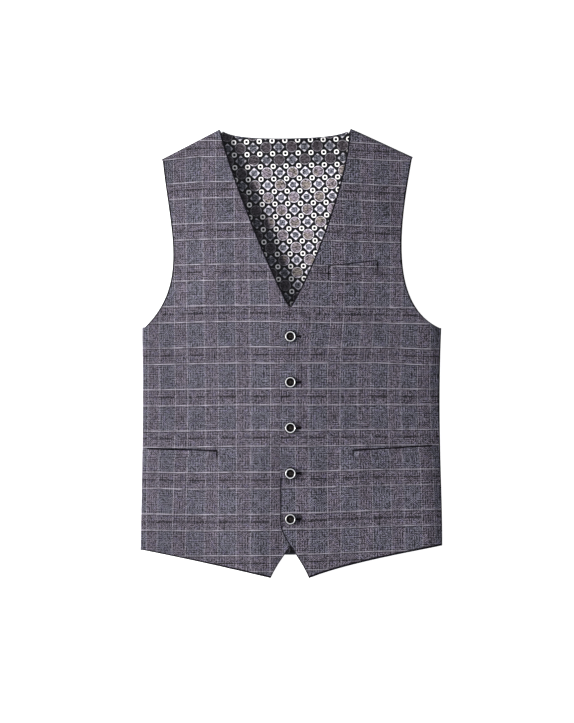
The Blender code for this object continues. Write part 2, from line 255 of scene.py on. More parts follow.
class Sky(Finish):
    """The light from everywhere, as nodes."""

    def __init__(self, name):
        world = bpy.data.worlds.new(name)
        world.use_nodes = True
        bpy.context.scene.world = world
        self.tree = world.node_tree
        self.shader = self.tree.nodes["Background"]


sky = Sky("sky")
upward = sky.split(sky.node("ShaderNodeTexCoord"))[2].most(0.0)
sky.set(Color=(0.93, 0.97, 1.06, 1.0), Strength=upward**SKY_FOCUS * SKY_OVERHEAD + SKY_RIM)
bpy.context.scene.view_settings.view_transform = "Standard"

bpy.ops.mesh.primitive_plane_add(size=TABLE_SIZE, location=(0, 0, TABLE_LEVEL))
table = bpy.context.object
table.name = "table_top"
table_finish = Finish("table_paper", Roughness=0.9, Base_Color=(*[TABLE_WHITE] * 3, 1.0))
table_finish.set(Emission_Color=(1.0, 1.0, 1.0, 1.0), Emission_Strength=TABLE_GLOW)
table.data.materials.append(table_finish.material)
print("lamps:", len(LAMPS))

# %% [markdown]
# ## The shape of the fronts
#
# Laid flat and buttoned, the two fronts make a very low tent: they roll round a fold at each
# side seam and shoulder, and rise to a rounded ridge under the buttons, where the left front
# also climbs over the right. The named sizes are the solids' own, so the cloth lies where the
# solids are.

# %% Sizes of the cloth
FRONT_WALL, BACK_WALL, LINING_WALL = 0.0022, 0.0012, 0.0010
SEAM_GAP = 0.0003
SIDE_UNDERLAP, SHOULDER_UNDERLAP = 0.0080, 0.0006
FOLD_HEIGHT, HEM_FOLD_HEIGHT, HEM_TIP_HEIGHT = 0.0090, 0.0075, 0.0027
RIDGE_RISE, RIDGE_ROUNDING, HALF_WIDTH = 0.0110, 0.06, 0.2220
RIDGE_X, RIDGE_DRIFT, RIDGE_DRIFT_Y = -0.0150, -0.034, (-0.090, -0.180)
HEM_REACH, HEM_MIDDLE_Y, HEM_SIDE_Y, SHOULDER_REACH = 0.060, -0.3366, -0.2900, 0.040
# by side of the wearer, left 1 and right -1
V_STAND, V_STAND_WIDTH, V_STAND_LEVELS = {1: 0.0, -1: 0.0008}, 0.045, (0.060, 0.190)
LAP_RISE, LAP_FLAT, LAP_END = FRONT_WALL + SEAM_GAP, 0.060, 0.220
DROOP_SHARES, CREASE_END_SHARES = (0.35, 0.95), (0.85, 1.0)  # 0 is the ridge, 1 the sides
HOLLOW = {1: -0.18, -1: 0.60}  # how much a front sags between the ridge and its side
SIDE_FALL = {1: 0.0050, -1: 0.0}  # how far it falls away near its side fold
SIDE_FALL_REACH = 0.036
FOLD_SQUARENESS = {1: 2.2, -1: 3.6}  # 2 is a round fold, and more is a crisper one
ARMHOLE_SINK, ARMHOLE_REACH = {1: 0.0036, -1: 0.0044}, {1: 0.060, -1: 0.085}
ARMHOLE_LEVELS = {1: (0.140, 0.240), -1: (0.0, 0.100)}  # it sinks above these
CUTAWAY_SHARE = 0.217

# %% Outlines of the fronts
LEFT_FRONT = {
    "side": 1,
    "hem_tip": (0.0262, -0.3366),
    "cutaway_pull": ((0.0123, -0.3020), (-0.0168, -0.2742)),
    "cutaway_top": (-0.0170, -0.2520),
    "v_foot": (-0.0170, 0.0500),
    "v_pull": ((0.0200, 0.0888), (0.0838, 0.2574)),
    "neck_point": (0.0882, 0.3366),
    "shoulder_tip": (0.1820, 0.2953),
    "armhole_pull": ((0.1408, 0.0752), (0.1656, 0.2083)),
    "underarm": (0.2252, 0.0390),
    "side_pull": ((0.2182, -0.1044), (0.2273, -0.2045)),
    "hem_corner": (0.2268, -0.2876),
    "hem_pull": ((0.0720, -0.3175), (0.1581, -0.3000)),
}
RIGHT_FRONT = {
    "side": -1,
    "hem_tip": (-0.0314, -0.3366),
    "cutaway_pull": ((-0.0160, -0.3020), (0.0143, -0.2742)),
    "cutaway_top": (0.0143, -0.2520),
    "v_foot": (0.0143, 0.0465),
    "v_pull": ((-0.0184, 0.0810), (-0.0949, 0.2815)),
    "neck_point": (-0.1075, 0.3366),
    "shoulder_tip": (-0.1950, 0.2920),
    "armhole_pull": ((-0.1526, 0.1061), (-0.1831, 0.1874)),
    "underarm": (-0.2246, 0.0400),
    "side_pull": ((-0.2210, -0.0677), (-0.2250, -0.2089)),
    "hem_corner": (-0.2268, -0.2940),
    "hem_pull": ((-0.0561, -0.3301), (-0.1984, -0.2982)),
}

# %% [markdown]
# ## Creases
#
# Pressed worsted with a canvas behind it does not crumple. It keeps a few long, shallow
# troughs and swells: slanting ones that run from the underarms, upright ones beside the
# buttoned edge and over the pockets, and short ones where the hem lifts. Each row of the table
# is one of them, and no two are alike. The first eight are in the solids too.

# %% Creases, one by one
CREASE_COLUMNS = ("x", "y", "turn_deg", "length", "width", "rise")
CREASES = (
    (0.058, -0.190, 84, 0.060, 0.016, -0.0011),
    (0.100, -0.165, 78, 0.050, 0.018, 0.0010),
    (-0.050, -0.215, 96, 0.055, 0.016, -0.0010),
    (-0.105, -0.185, 100, 0.050, 0.020, 0.0008),
    (-0.120, 0.120, 62, 0.070, 0.022, 0.0009),
    (0.125, 0.070, 118, 0.060, 0.020, -0.0008),
    (0.165, -0.060, 90, 0.070, 0.018, 0.0008),
    (-0.170, -0.040, 90, 0.060, 0.018, -0.0008),
    # beside the buttoned edge
    (0.034, -0.215, 88, 0.060, 0.012, 0.0006),
    (0.046, -0.085, 93, 0.040, 0.008, 0.0003),
    (-0.036, -0.120, 86, 0.046, 0.009, -0.0003),
    (-0.040, 0.010, 98, 0.034, 0.008, 0.0003),
    # from the underarms and down the chest
    (0.188, 0.020, 152, 0.042, 0.009, -0.0005),
    (0.170, 0.052, 128, 0.036, 0.008, 0.0004),
    (-0.184, 0.016, 30, 0.044, 0.009, -0.0005),
    (-0.158, 0.062, 54, 0.040, 0.010, 0.0004),
    (0.108, 0.190, 104, 0.050, 0.012, -0.0004),
    (-0.128, 0.205, 80, 0.046, 0.012, 0.0004),
    (0.074, 0.120, 66, 0.034, 0.009, 0.0003),
    # over the sides and the hem
    (0.200, -0.215, 92, 0.060, 0.015, 0.0007),
    (-0.200, -0.200, 84, 0.040, 0.011, 0.0004),
    (0.130, -0.262, 76, 0.026, 0.012, 0.0006),
    (-0.150, -0.258, 102, 0.030, 0.012, -0.0005),
    (0.076, -0.290, 60, 0.024, 0.010, -0.0005),
    (-0.082, -0.292, 118, 0.024, 0.010, 0.0005),
)


def ease(value, low, high):
    """0 below low, 1 above high, and a smooth climb between."""
    share = np.clip((value - low) / (high - low), 0, 1)
    return share * share * (3 - 2 * share)


def swells(rows, x, y):
    """How far these creases lift the cloth at these places."""
    total = np.zeros(np.broadcast(x, y).shape)
    for row in rows:
        crease = dict(zip(CREASE_COLUMNS, row))
        turn = math.radians(crease["turn_deg"])
        dx, dy = x - crease["x"], y - crease["y"]
        along = (dx * math.cos(turn) + dy * math.sin(turn)) / crease["length"]
        across = (dy * math.cos(turn) - dx * math.sin(turn)) / crease["width"]
        total = total + crease["rise"] * np.exp(-(along**2) - across**2)
    return total


print("creases:", len(CREASES))


# %% Heights of the fronts
def bezier(start, pull, end, share):
    """Places on a Bezier curve in plan, one for each share."""
    share = np.asarray(share, float)[..., None]
    rest = 1 - share
    weights = (rest**3, 3 * rest**2 * share, 3 * rest * share**2, share**3)
    return sum(w * np.array(c, float) for w, c in zip(weights, (start, *pull, end)))


def blend(first, second, share):
    share = np.asarray(share, float)[..., None]
    return np.array(first, float) * (1 - share) + np.array(second, float) * share


def rise_over(distance, reach):
    return 1 - np.exp(-np.maximum(0, distance) / reach)


def shoulder_out(front):
    """The direction in plan in which the shoulder fold faces."""
    along = np.subtract(front["shoulder_tip"], front["neck_point"])
    out = np.array((-along[1], along[0])) * front["side"]
    return out / np.linalg.norm(out)


def below_shoulder(front, x, y):
    """Distance from the shoulder line."""
    out = shoulder_out(front)
    return -((x - front["neck_point"][0]) * out[0] + (y - front["neck_point"][1]) * out[1])


def fold_height(y):
    drop = HEM_FOLD_HEIGHT - FOLD_HEIGHT
    return FOLD_HEIGHT + drop * (1 - rise_over(y - HEM_SIDE_Y, HEM_REACH))


def ridge_share(x, y):
    """0 on the ridge and 1 at either side. Towards the hem the ridge drifts."""
    ridge = RIDGE_X + RIDGE_DRIFT * ease(-y, -RIDGE_DRIFT_Y[0], -RIDGE_DRIFT_Y[1])
    reach = np.where(x > ridge, HALF_WIDTH - ridge, HALF_WIDTH + ridge)
    return np.minimum(1.0, np.abs(x - ridge) / reach)


def side_fall(front, x, y):
    """How far a front falls away towards its side fold."""
    side_x = abs(front["underarm"][0]) - np.abs(x)
    fall = SIDE_FALL[front["side"]] * fold_height(y) / FOLD_HEIGHT
    return fall * (1 - np.clip(side_x / SIDE_FALL_REACH, 0, 1)) ** 3


def front_height(front, x, y):
    """Height of a front's outer face above the table."""
    share = ridge_share(x, y)
    above_hem = y - (HEM_MIDDLE_Y + (HEM_SIDE_Y - HEM_MIDDLE_Y) * share)
    shoulder = rise_over(np.abs(below_shoulder(front, x, y)), SHOULDER_REACH)
    rounded = np.hypot(share, RIDGE_ROUNDING) - RIDGE_ROUNDING
    tent = 1 - rounded / (math.hypot(1, RIDGE_ROUNDING) - RIDGE_ROUNDING)
    tent = tent - HOLLOW[front["side"]] * tent * (1 - tent)
    from_edges = rise_over(above_hem, HEM_REACH) * shoulder
    droop = (HEM_TIP_HEIGHT - HEM_FOLD_HEIGHT) * (1 - ease(share, *DROOP_SHARES))
    droop = droop * np.exp(-above_hem / HEM_REACH)
    foot, neck = front["v_foot"], front["neck_point"]
    up_the_v = np.clip((y - foot[1]) / (neck[1] - foot[1]), 0, 1)
    beside_v = np.maximum(0, (x - foot[0] - (neck[0] - foot[0]) * up_the_v) * front["side"])
    stand = V_STAND[front["side"]] * np.exp(-((beside_v / V_STAND_WIDTH) ** 2))
    height = fold_height(y) + RIDGE_RISE * tent * from_edges + droop
    height = height + stand * ease(y, *V_STAND_LEVELS) * shoulder
    height = height - side_fall(front, x, y)
    armhole = np.clip(1 - np.abs(x - front["shoulder_tip"][0]) / ARMHOLE_REACH[front["side"]], 0, 1)
    sink = ARMHOLE_SINK[front["side"]] * ease(y, *ARMHOLE_LEVELS[front["side"]])
    height = height - sink * ease(armhole, 0, 1) * shoulder
    height = height + swells(CREASES, x, y) * from_edges * (1 - ease(share, *CREASE_END_SHARES))
    if front["side"] > 0:
        height = height + LAP_RISE * (1 - ease(x, LAP_FLAT, LAP_END))
    return height


print("crest, mm:", round(float(front_height(LEFT_FRONT, 0.0, -0.1)) * 1000, 1))

# %% [markdown]
# ## Where the check runs
#
# A check is woven straight, but cut, canvassed and pressed cloth never lies quite straight.
# Down each front the upright lines lean and crowd a little towards the waist, and the level
# lines dip and lift. So each panel carries a flat map of its cloth. Two charts say where lines
# lie: one gives the places of the upright lines at a few levels, and the other how far the
# level lines have dropped at a few places. The weave is then drawn on that map.

# %% The map of the cloth
CHECK_WIDTH, CHECK_HEIGHT = 0.0456, 0.0626  # one repeat
CHECK_TOP_Y = -0.1142  # one of the level lines that begin a repeat
MM = 0.001
LINE_LEVELS = {  # from the hem to the shoulders
    1: (-0.2865, -0.189, -0.069, -0.003, 0.045, 0.141, 0.261),
    -1: (-0.2865, -0.189, -0.069, 0.036, 0.141, 0.261),
}
UPRIGHT_LINES = {  # each line's x at those levels, in mm
    1: (
        (7.8, 6.2, 5.6, 6.3, 10.1, 10.5, 9.8),
        (54.8, 53.4, 53.4, 53.9, 58.1, 60.3, 55.8),
        (101.9, 100.2, 98.7, 100.1, 105.0, 106.2, 103.4),
        (151.1, 148.7, 144.2, 145.2, 147.5, 148.7, 147.6),
        (196.8, 193.7, 188.3, 188.3, 189.5, 190.0, 189.8),
    ),
    -1: (
        (-217.5, -216.5, -214.5, -214.5, -215.5, -216.0),
        (-179.4, -176.4, -174.0, -175.4, -175.8, -177.0),
        (-130.8, -128.7, -128.6, -130.7, -132.0, -133.8),
        (-82.8, -82.1, -82.1, -83.1, -84.8, -85.8),
        (-32.3, -31.4, -31.1, -33.0, -36.0, -36.3),
    ),
}
DROP_PLACES = {1: (0.035, 0.068, 0.128, 0.197), -1: (-0.200, -0.170, -0.140, -0.080, -0.040)}
LEVEL_DROPS = {  # y, then how far the level lines have dropped at those places, in mm
    1: (
        (-0.279, -2.5, -4.0, -6.5, -8.0),
        (-0.189, -2.0, -3.0, -4.8, -5.6),
        (-0.144, -1.4, -2.2, -3.0, -3.1),
        (-0.099, -0.3, -0.7, -1.1, -0.8),
        (-0.054, 0.3, 0.3, 0.0, 0.9),
        (-0.009, 0.0, 0.0, -0.4, 3.0),
        (0.036, 1.5, 2.1, 2.1, 3.5),
        (0.126, 3.5, 5.1, 5.8, 6.5),
        (0.216, 4.0, 5.5, 8.1, 9.5),
        (0.300, 4.0, 6.0, 9.2, 11.5),
    ),
    -1: (
        (-0.279, 0.0, 0.8, 0.9, 0.2, -0.2),
        (-0.234, 0.2, 1.0, 1.2, 0.4, 0.2),
        (-0.189, 0.0, 1.0, 0.9, 0.0, 0.0),
        (-0.144, 0.9, 0.8, 0.2, -1.2, -1.3),
        (-0.099, 1.5, 1.4, 1.0, -0.3, -0.6),
        (-0.054, 2.1, 1.5, 1.0, 0.0, 0.2),
        (0.036, 2.6, 2.0, 1.0, 0.0, 0.2),
        (0.126, 3.4, 2.8, 2.0, 1.4, 1.5),
        (0.216, 6.0, 4.5, 3.2, 2.2, 1.5),
        (0.300, 11.0, 7.0, 4.0, 4.5, 3.0),
    ),
}


def count_lines(side, x, y):
    """How many repeats lie before x, with the plain repeat past the charted lines."""
    lines = [MM * np.interp(y, LINE_LEVELS[side], line) for line in UPRIGHT_LINES[side]]
    count = np.minimum(0, x - lines[0]) / CHECK_WIDTH + np.maximum(0, x - lines[-1]) / CHECK_WIDTH
    for line, after in zip(lines, lines[1:]):
        count = count + np.clip((x - line) / (after - line), 0, 1)
    return count


def drop(side, x, y):
    """How far the level lines have dropped at these places."""
    levels = [row[0] for row in LEVEL_DROPS[side]]
    drops = [np.interp(x, DROP_PLACES[side], row[1:]) for row in LEVEL_DROPS[side]]
    total = drops[0]
    for n, (low, high) in enumerate(zip(levels, levels[1:])):
        share = np.clip((y - low) / (high - low), 0, 1)
        total = total + (drops[n + 1] - drops[n]) * share
    return MM * total


def cloth_map(side, x, y):
    """The flat place of points on the fronts: across in whole repeats, and along."""
    across = count_lines(side, x, y) * CHECK_WIDTH
    return np.stack([across, y + drop(side, x, y) - CHECK_TOP_Y], axis=-1)


# %% [markdown]
# ## From points to cloth
#
# Each panel is a grid of points with its flat map beside it. Places where the garment has no
# cloth are left empty, and the grid's cells are only filled where all four corners exist.
# Solidify then gives the sheet its thickness, inwards, and is applied, so that the finished
# piece is a plain mesh. Cells that are marked as edge cells get the inside finish, as a thin
# dark strip of painted shade along the front's pressed edges.


# %% Sheets from grids
SHARP_ANGLE = math.radians(50)


def plain_mesh(obj):
    """The object with its modifiers worked into its mesh."""
    bpy.context.view_layer.update()
    shown = obj.evaluated_get(bpy.context.evaluated_depsgraph_get())
    mesh = bpy.data.meshes.new_from_object(shown)
    mesh.name = obj.name
    name = obj.name
    made = add_object(name + "_made", mesh)
    bpy.data.objects.remove(obj)
    made.name = name
    return made


def cloth_sheet(name, points, flat, wall, finishes, turn_over=False, edge_cells=None):
    """A thick sheet from a grid of points. The first finish is outside, the next inside."""
    there = ~np.isnan(points[..., 0])
    index = np.full(there.shape, -1)
    index[there] = np.arange(there.sum())
    corners = [index[:-1, :-1], index[1:, :-1], index[1:, 1:], index[:-1, 1:]]
    faces = np.stack(corners, axis=-1).reshape(-1, 4)
    filled = (faces >= 0).all(axis=1)
    faces = faces[filled]
    if turn_over:
        faces = faces[:, ::-1]
    mesh = bpy.data.meshes.new(name)
    mesh.from_pydata(points[there].tolist(), [], faces.tolist())
    layer = mesh.uv_layers.new(name="cloth")
    places = flat[there]
    layer.data.foreach_set("uv", places[faces.ravel()].astype(np.float32).ravel())
    for finish in finishes:
        mesh.materials.append(finish.material)
    if edge_cells is not None:
        mesh.polygons.foreach_set("material_index", edge_cells.ravel()[filled].astype(np.int32))
    obj = add_object(name, mesh)
    mesh.shade_smooth()
    thick = obj.modifiers.new("thickness", "SOLIDIFY")
    thick.thickness, thick.offset, thick.use_even_offset = wall, -1, True
    thick.material_offset = thick.material_offset_rim = len(finishes) - 1
    made = plain_mesh(obj)
    made.data.set_sharp_from_angle(angle=SHARP_ANGLE)
    print(name, "faces:", len(made.data.polygons))
    return made


# %% [markdown]
# ## The suiting
#
# The cloth is a fine worsted check in grey and mauve. Pairs of pale lines, level and upright,
# bound narrow and wide bands. The level lines are the stronger, with a painted shadow just below
# them.
# Halfway down each narrow level band runs a row of short dark dashes, which is strongest where
# the upright band is wide. Between the lines pale and dark yarns take turns in short strokes,
# upright in some patches and level in others, and here and there like a chessboard or on the
# slant. Clouds of blue grey and violet lie over the mauve. All of it is drawn from the flat
# map, in metres, so its size is right and it follows the cloth round the folds.

# %% Suiting finish
NARROW_ACROSS, NARROW_ALONG = 0.418, 0.390  # share of a repeat that the narrow bands take
DASH_AT = 0.187
MAUVE, BLUE_GREY, VIOLET = rgb(69, 63, 72), rgb(65, 64, 73), rgb(65, 60, 78)
PALE_YARN, LINE_SHADOW_DARK, DASH_YARN = rgb(156, 151, 161), rgb(22, 19, 25), rgb(8, 6, 9)
TWILL, YARN_WIDTH = 0.0007, 0.0007  # the pitch of the ribs, and of the single yarns
END_STROKES, PICK_STROKES, SLANT_STROKES = 0.0036, 0.0034, 0.0046  # a pale and a dark one
SWAY, SWAY_SEEDS = 0.0040, (41.0, 47.0)  # how far the strokes wander
STREAK_PITCH, STREAK_RUN, YARN_CONTRAST = 0.0015, 0.0030, 1.32
LEVEL_LINE, UPRIGHT_LINE, LINE_SOFT = 0.00060, 0.00045, 0.0005  # half widths, and a soft edge
# Painted shadow: a dark band just below each pale level line.
FLANK_LINE, FLANK_SOFT, FLANK_BELOW, FLANK_SHARE = 0.0021, 0.0006, 0.012, 0.42
DASH_LINE, DASH_SOFT, DASH_PITCH = 0.0012, 0.0004, 0.0042
PAINTED_RAKE_FROM, PAINTED_RAKE_MORE = (-0.018, -0.016), 0.46  # painted raking light: the left front's yarns are drawn with more contrast


def line_pair(position, second, period, half_width, soft):
    """The two pale lines of a repeat. Position counts repeats."""
    first = ((position + 0.5).part() - 0.5) * period
    other = ((position - second + 0.5).part() - 0.5) * period
    return first.band(half_width, soft).most(other.band(half_width, soft))


def yarn_tones(finish, run_place, row_place, seed):
    """Yarns side by side, each in runs of one tone and then another."""
    row = (row_place / STREAK_PITCH).whole()
    start = finish.chance(row, 0.0, seed)
    run = (run_place / STREAK_RUN + start * 5).whole()
    return finish.chance(run, row, seed)


def make_suiting():
    cloth = Finish("suiting_check", Roughness=0.88, Specular_IOR_Level=0.25)
    cloth.set(Sheen_Weight=0.10, Sheen_Roughness=0.45)
    across, along = cloth.cloth_place()
    columns, rows = across / CHECK_WIDTH, along * (-1 / CHECK_HEIGHT)
    wide_column = (columns.part() - NARROW_ACROSS).ease(-0.02, 0.02)
    wide_row = (rows.part() - NARROW_ALONG).ease(-0.02, 0.02)
    clouds = cloth.noise(across * 55, along * 70, detail=2.0)
    blueness = wide_column * wide_row * 0.75 + clouds.ease(0.40, 0.66) * 0.45
    colour = cloth.mix(blueness.least(1.0), MAUVE, BLUE_GREY)
    tint = cloth.noise(across * 130, along * 150, 35.0, detail=3.0)
    colour = cloth.mix(tint.ease(0.52, 0.66) * 0.6, colour, VIOLET)

    level_yarn = yarn_tones(cloth, across, along, 3.0)
    upright_yarn = yarn_tones(cloth, along, across, 7.0)

    def hatch(direction, pitch):
        """Yarns side by side, each flat on top: 1 on a pale one and -1 on a dark one."""
        return ((direction * (math.tau / pitch)).wave() * 2.0).least(1.0).most(-1.0)

    def patch(seed, size, low, high):
        return cloth.noise(across / size, along / size, seed).ease(low, high)

    end, pick = [(place / YARN_WIDTH).whole() * YARN_WIDTH for place in (across, along)]
    sway = [cloth.noise(end * 300, pick * 300, seed) * SWAY for seed in SWAY_SEEDS]
    upright_hatch = hatch(end + sway[0], END_STROKES)
    level_hatch = hatch(pick + sway[1], PICK_STROKES)
    lie = patch(13.0, 0.012, 0.42, 0.58)
    weave = upright_hatch * (lie * 0.7 + 0.45) + level_hatch * (1.15 - lie * 0.7)
    weave = weave.towards(upright_hatch * level_hatch * 1.5, patch(19.0, 0.009, 0.46, 0.56))
    weave = weave.towards(hatch(across + along, SLANT_STROKES), patch(5.0, 0.010, 0.66, 0.70))
    calm = patch(25.0, 0.012, 0.36, 0.60) * 0.4 + 0.6
    yarn = weave * calm * 0.70 + (level_yarn + upright_yarn - 1) * 0.60
    # Painted raking light: the yarns are drawn with more contrast on the left front.
    yarn = yarn * (cloth.solid_place()[0].ease(*PAINTED_RAKE_FROM) * PAINTED_RAKE_MORE + 1)
    colour = cloth.times(colour, (yarn * YARN_CONTRAST + 1).most(0.08))

    uneven = cloth.noise(across * 60, along * 420, 17.0, detail=2.0)
    beads = cloth.noise(across * 300, along * 160, 23.0, detail=2.0)
    level_line = line_pair(rows, NARROW_ALONG, CHECK_HEIGHT, LEVEL_LINE, LINE_SOFT)
    level_line = level_line * (uneven.ease(0.34, 0.64) * 0.72 + 0.24 + upright_hatch * 0.12)
    upright_line = line_pair(columns, NARROW_ACROSS, CHECK_WIDTH, UPRIGHT_LINE, LINE_SOFT)
    upright_line = upright_line * (beads.ease(0.38, 0.64) * 0.46 + 0.12 + level_hatch * 0.22)
    dash_row = ((rows.part() - DASH_AT) * CHECK_HEIGHT).band(DASH_LINE, DASH_SOFT)
    dash_break = cloth.noise(across * 75, along * 120, 29.0).ease(0.36, 0.45)
    dash_dots = hatch(across, DASH_PITCH).ease(-0.8, 0.0) * 0.50 + 0.62
    dashes = dash_row * (wide_column * 0.45 + 0.55) * (dash_break * dash_dots)
    # Painted shadow just below each level line.
    line_shadow = line_pair(rows - FLANK_BELOW, NARROW_ALONG, CHECK_HEIGHT, FLANK_LINE, FLANK_SOFT)
    colour = cloth.mix(line_shadow * FLANK_SHARE, colour, LINE_SHADOW_DARK)
    colour = cloth.mix(dashes.least(1.0), colour, DASH_YARN)
    colour = cloth.mix(level_line.least(1.0), colour, PALE_YARN)
    colour = cloth.mix(upright_line.most(0.0), colour, PALE_YARN)

    ribs = ((across + along * 1.6) * (math.tau / TWILL)).wave() * 0.35
    height = ribs + (level_yarn + upright_yarn) * 0.5 + level_line * 0.4
    cloth.set(Base_Color=colour, Normal=cloth.bump(height, 0.00012, 0.5))
    return cloth


suiting = make_suiting()
print("suiting nodes:", len(suiting.tree.nodes))

# %% [markdown]
# ## The plain cloths
#
# Two cloths are plain. The inside of the fronts is faced with a dark twill, seen through an
# armhole. A thin strip of the same finish is also painted shade along the fronts' edges and
# folds. The outer back is a dark satin, seen only at the hem and the edges. Both get their
# weave, a little unevenness and a satin's broad gloss.


# %% Facing and back finishes
def make_plain_cloth(name, dark, light, roughness, specular, pitch):
    cloth = Finish(name, Roughness=roughness, Specular_IOR_Level=specular)
    x, y, z = cloth.solid_place()
    slub = cloth.noise(x * 700, y * 110, z * 300, detail=1.0)
    clouds = cloth.noise(x * 28, y * 28, z * 28)
    ribs = ((x + y * 1.4 + z) * (math.tau / pitch)).wave() * 0.5 + 0.5
    share = slub * 0.5 + clouds * 0.35 + ribs * 0.15
    cloth.set(Base_Color=cloth.mix(share, dark, light))
    cloth.set(Normal=cloth.bump(ribs * 0.6 + slub, 0.00008, 0.6))
    return cloth


facing_and_edge_shade = make_plain_cloth("facing_twill", rgb(7, 6, 9), rgb(24, 22, 28), 0.75, 0.03, 0.0008)
satin_tones = rgb(22, 22, 29), rgb(50, 50, 61)
back_satin = make_plain_cloth("back_satin_plain", *satin_tones, 0.38, 0.25, 0.0006)
print("plain cloths:", facing_and_edge_shade.material.name, back_satin.material.name)

# %% [markdown]
# ## The fronts
#
# A front is a panel between its buttoned edge and its side. The panel goes on round a rolled
# fold at the side seam, and another at the shoulder, and ends underneath where the back is
# sewn to it. The facing itself is inside. On the outside a thin strip of its dark finish is painted
# shade: it lies along the neck, hem and armhole edges, the lower buttoned edge, and the outer
# side and shoulder folds, so that a thin dark line runs round the front. The grid is fine
# enough for the creases, about 2.5 mm a cell.

# %% Build the fronts
ROWS_LOW, ROWS_HIGH, COLUMNS = 112, 96, 96
ROLL_STEPS, UNDERLAP_STEPS = 16, 2
EDGE_WIDTH, EDGE_DIP = 0.0024, 0.0003  # how wide the dark strip of painted shade is, and how far the edge turns down
EDGE_SHADE_FROM = {1: (1, 4), -1: (5, 3)}  # steps round a side and a shoulder fold before the painted shade starts
HEM_SHADE_WIDER = {1: 0.0016, -1: 0.0}  # how much wider the painted shade is at the hem, next to the side
UNSHADED_EDGE_Y = (-0.1850, 0.0700)  # between these the buttoned edge has no strip of painted shade


def front_edge(front, level):
    """The buttoned and neck edge: level 0 at the hem, 1 at the V's foot, 2 at the neck."""
    if level > 1:
        inset = np.array(front["neck_point"]) - shoulder_out(front) * FOLD_HEIGHT / 2
        return bezier(front["v_foot"], front["v_pull"], inset, level - 1)
    if level < CUTAWAY_SHARE:
        share = level / CUTAWAY_SHARE
        return bezier(front["hem_tip"], front["cutaway_pull"], front["cutaway_top"], share)
    share = (level - CUTAWAY_SHARE) / (1 - CUTAWAY_SHARE)
    return blend(front["cutaway_top"], front["v_foot"], share)


def side_fold_start(front, outermost):
    """How far inwards of the garment's side its fold starts."""
    x, y = outermost
    x = x - front["side"] * FOLD_HEIGHT / 2
    inset = (fold_height(y) - side_fall(front, x, y)) / 2
    return np.array((outermost[0] - front["side"] * inset, y))


def side_edge(front, level):
    """Where the side fold starts, up to level 1, and the armhole above it."""
    if level > 1:
        start = side_fold_start(front, front["underarm"])
        inset = np.array(front["shoulder_tip"]) - shoulder_out(front) * FOLD_HEIGHT / 2
        return bezier(start, front["armhole_pull"], inset, level - 1)
    edge = bezier(front["hem_corner"], front["side_pull"][::-1], front["underarm"], level)
    return side_fold_start(front, edge)


def front_row(front, shares, level):
    """Plan places along one row, from the buttoned edge (0) to the side (1)."""
    row = blend(front_edge(front, level), side_edge(front, level), shares)
    if level < 1:
        start, end = front_edge(front, 0), side_edge(front, 0)
        hem = bezier(start, front["hem_pull"], end, shares)
        row = row + (hem - blend(start, end, shares)) * (1 - level)
    return row


def rolled_fold(height, underlap, squareness):
    """Steps round a fold and in underneath: distance out, height, length gone round."""
    radius = height / 2
    turns = np.linspace(0, math.pi, ROLL_STEPS + 1)
    sines, cosines = np.sin(turns).clip(0), np.cos(turns)
    under = underlap * np.arange(1, UNDERLAP_STEPS + 1) / UNDERLAP_STEPS
    round_out = radius * sines ** (2 / squareness)
    round_up = radius * (1 + np.sign(cosines) * np.abs(cosines) ** (2 / squareness))
    out = np.concatenate([round_out, -under])
    up = np.concatenate([round_up, 0 * under])
    gone = np.cumsum(np.hypot(np.diff(out), np.diff(up)))
    return zip(out[1:], up[1:], gone)


